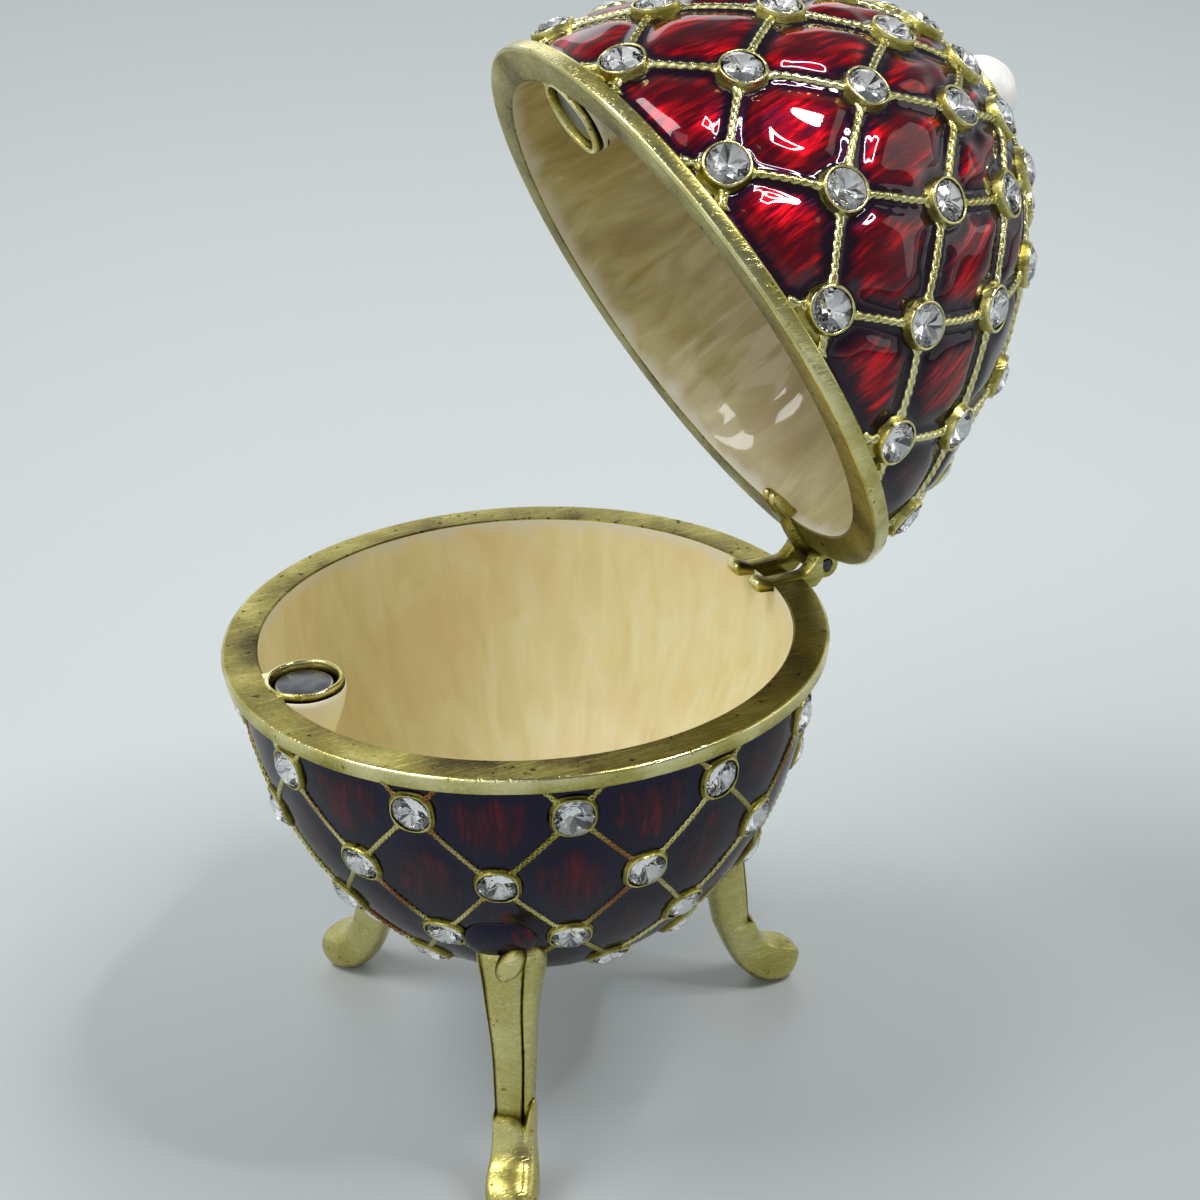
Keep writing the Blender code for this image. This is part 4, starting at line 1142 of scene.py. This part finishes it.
# Nickel-plated steel: a grey metal with dull spots of about 1 mm, a little rough from tumbling.
SPOT = MM / 0.9
steel, tree = new_material("nickel_plated_steel")
place = add_node(tree, "TexCoord", {}, {}).outputs["Object"]
spot = add_node(tree, "TexNoise", {}, {"Vector": place, "Scale": 1 / SPOT, "Detail": 4.0})
greys = [(0.35, "#3E3F42"), (0.65, "#54565A")]
tone = add_node(tree, "ValToRGB", {"stops": greys}, {"Fac": spot})
# A painted highlight, near white, on the magnets' rounded edge.
painted_highlight = add_node(tree, "Attribute", {"attribute_name": "painted_highlight"}, {}).outputs["Fac"]
tone = add_node(tree, "Mix", {"data_type": "RGBA"}, {"Factor": painted_highlight, 6: tone, 7: "#E2E0D8"})
fine = add_node(tree, "Bump", {}, {"Strength": 0.1, "Distance": 0.03 * MM, "Height": spot})
shader = add_node(
    tree, "BsdfPrincipled", {},
    {"Base Color": tone.outputs[2], "Metallic": 1.0, "Roughness": 0.32, "Normal": fine},
)
add_node(tree, "OutputMaterial", {}, {"Surface": shader})

PIN = 0.54 * MM
PIN_END = 2.78 * MM
PIN_EDGE = 0.1 * MM
side = [(0.0, -PIN_END)] + rounded((PIN - PIN_EDGE, PIN_EDGE - PIN_END), PIN_EDGE, 270, 360)
pin = lathe(side + [(rho, -z) for rho, z in reversed(side)], 32, closed=False)
move(pin, axle)
piece("hinge_pin_turned", pin, steel, shut, ["hinge_pin"])

# ---------------------------------------------------------------------------
# Magnets
# A pressed and nickel-plated magnet disc, glued in each cup a little below its lip. Its rounded
# edge carries a painted highlight.

MAGNET_TOP, MAGNET_BOTTOM, MAGNET_EDGE = 0.5 * MM, 2.1 * MM, 0.2 * MM
for half in (bowl, lid):
    side = [(0.0, MAGNET_TOP)]
    side += rounded((MAGNET_RADIUS - MAGNET_EDGE, MAGNET_TOP + MAGNET_EDGE), MAGNET_EDGE, 270, 360)
    side += [(MAGNET_RADIUS, MAGNET_BOTTOM), (0.0, MAGNET_BOTTOM)]
    disc = lathe(side, 56, closed=False)
    painted_highlight = disc.verts.layers.float.new("painted_highlight")
    for vert in disc.verts:
        vert[painted_highlight] = 1.0 if 0 < MAGNET_RADIUS - vert.co.xy.length < 0.15 * MM else 0.0
    move(disc, to_magnet)
    piece(half["name"] + "_magnet_disc", disc, steel, half, [half["name"] + "_magnet"])

# ---------------------------------------------------------------------------
# Tip
# A thin gilt collar cast at the lid's tip with a half pearl of lacquered resin glued in it, and a
# plain gilt disc under the bowl.

PEARL = 3.35 * MM
PEARL_SEAT = 32.5 * MM
side = [(2.6 * MM, 31.2 * MM), (3.75 * MM, 31.2 * MM), (3.7 * MM, 32.3 * MM)]
side += rounded((3.5 * MM, PEARL_SEAT), 0.16 * MM, 0, 180, 5) + [(2.6 * MM, 32.4 * MM)]
bm = lathe(side, 72)
set_wear_and_shade(bm, lambda co: 0.3)
piece("pearl_collar", bm, gilt, lid)

# Lacquered pearl: a white resin half bead under pearlescent lacquer, soft inside and glossy.
pearly, tree = new_material("lacquered_pearl")
shader = add_node(
    tree, "BsdfPrincipled", {},
    {
        "Base Color": "#F3F1EC",
        "Roughness": 0.3,
        "Subsurface Weight": 0.2,
        "Subsurface Radius": (0.001, 0.0009, 0.0008),
        "Subsurface Scale": 1.0,
        "Coat Weight": 0.9,
        "Coat Roughness": 0.05,
    },
)
add_node(tree, "OutputMaterial", {}, {"Surface": shader})
bead = bmesh.new()
centre = Matrix.Translation((0, 0, PEARL_SEAT))
bmesh.ops.create_uvsphere(bead, u_segments=48, v_segments=32, radius=PEARL, matrix=centre)
cut(bead, (0, 0, PEARL_SEAT - 0.1 * MM), (0, 0, -1))
piece("half_pearl", bead, pearly, lid, ["pearl"])

side = [(0.0, 29.2 * MM), (6.3 * MM, 29.2 * MM), (6.3 * MM, 30.1 * MM)]
side += rounded((5.8 * MM, 30.2 * MM), 0.4 * MM, 0, 90) + [(0.0, 30.6 * MM)]
bm = lathe(side, 72, closed=False)
set_wear_and_shade(bm, lambda co: 0.1 * noise.noise(co * 200))
piece("bowl_plate", bm, gilt, bowl)

size = {"cad": [list(corner) for corner in cad_bounds], "scene": [list(corner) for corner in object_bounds()]}
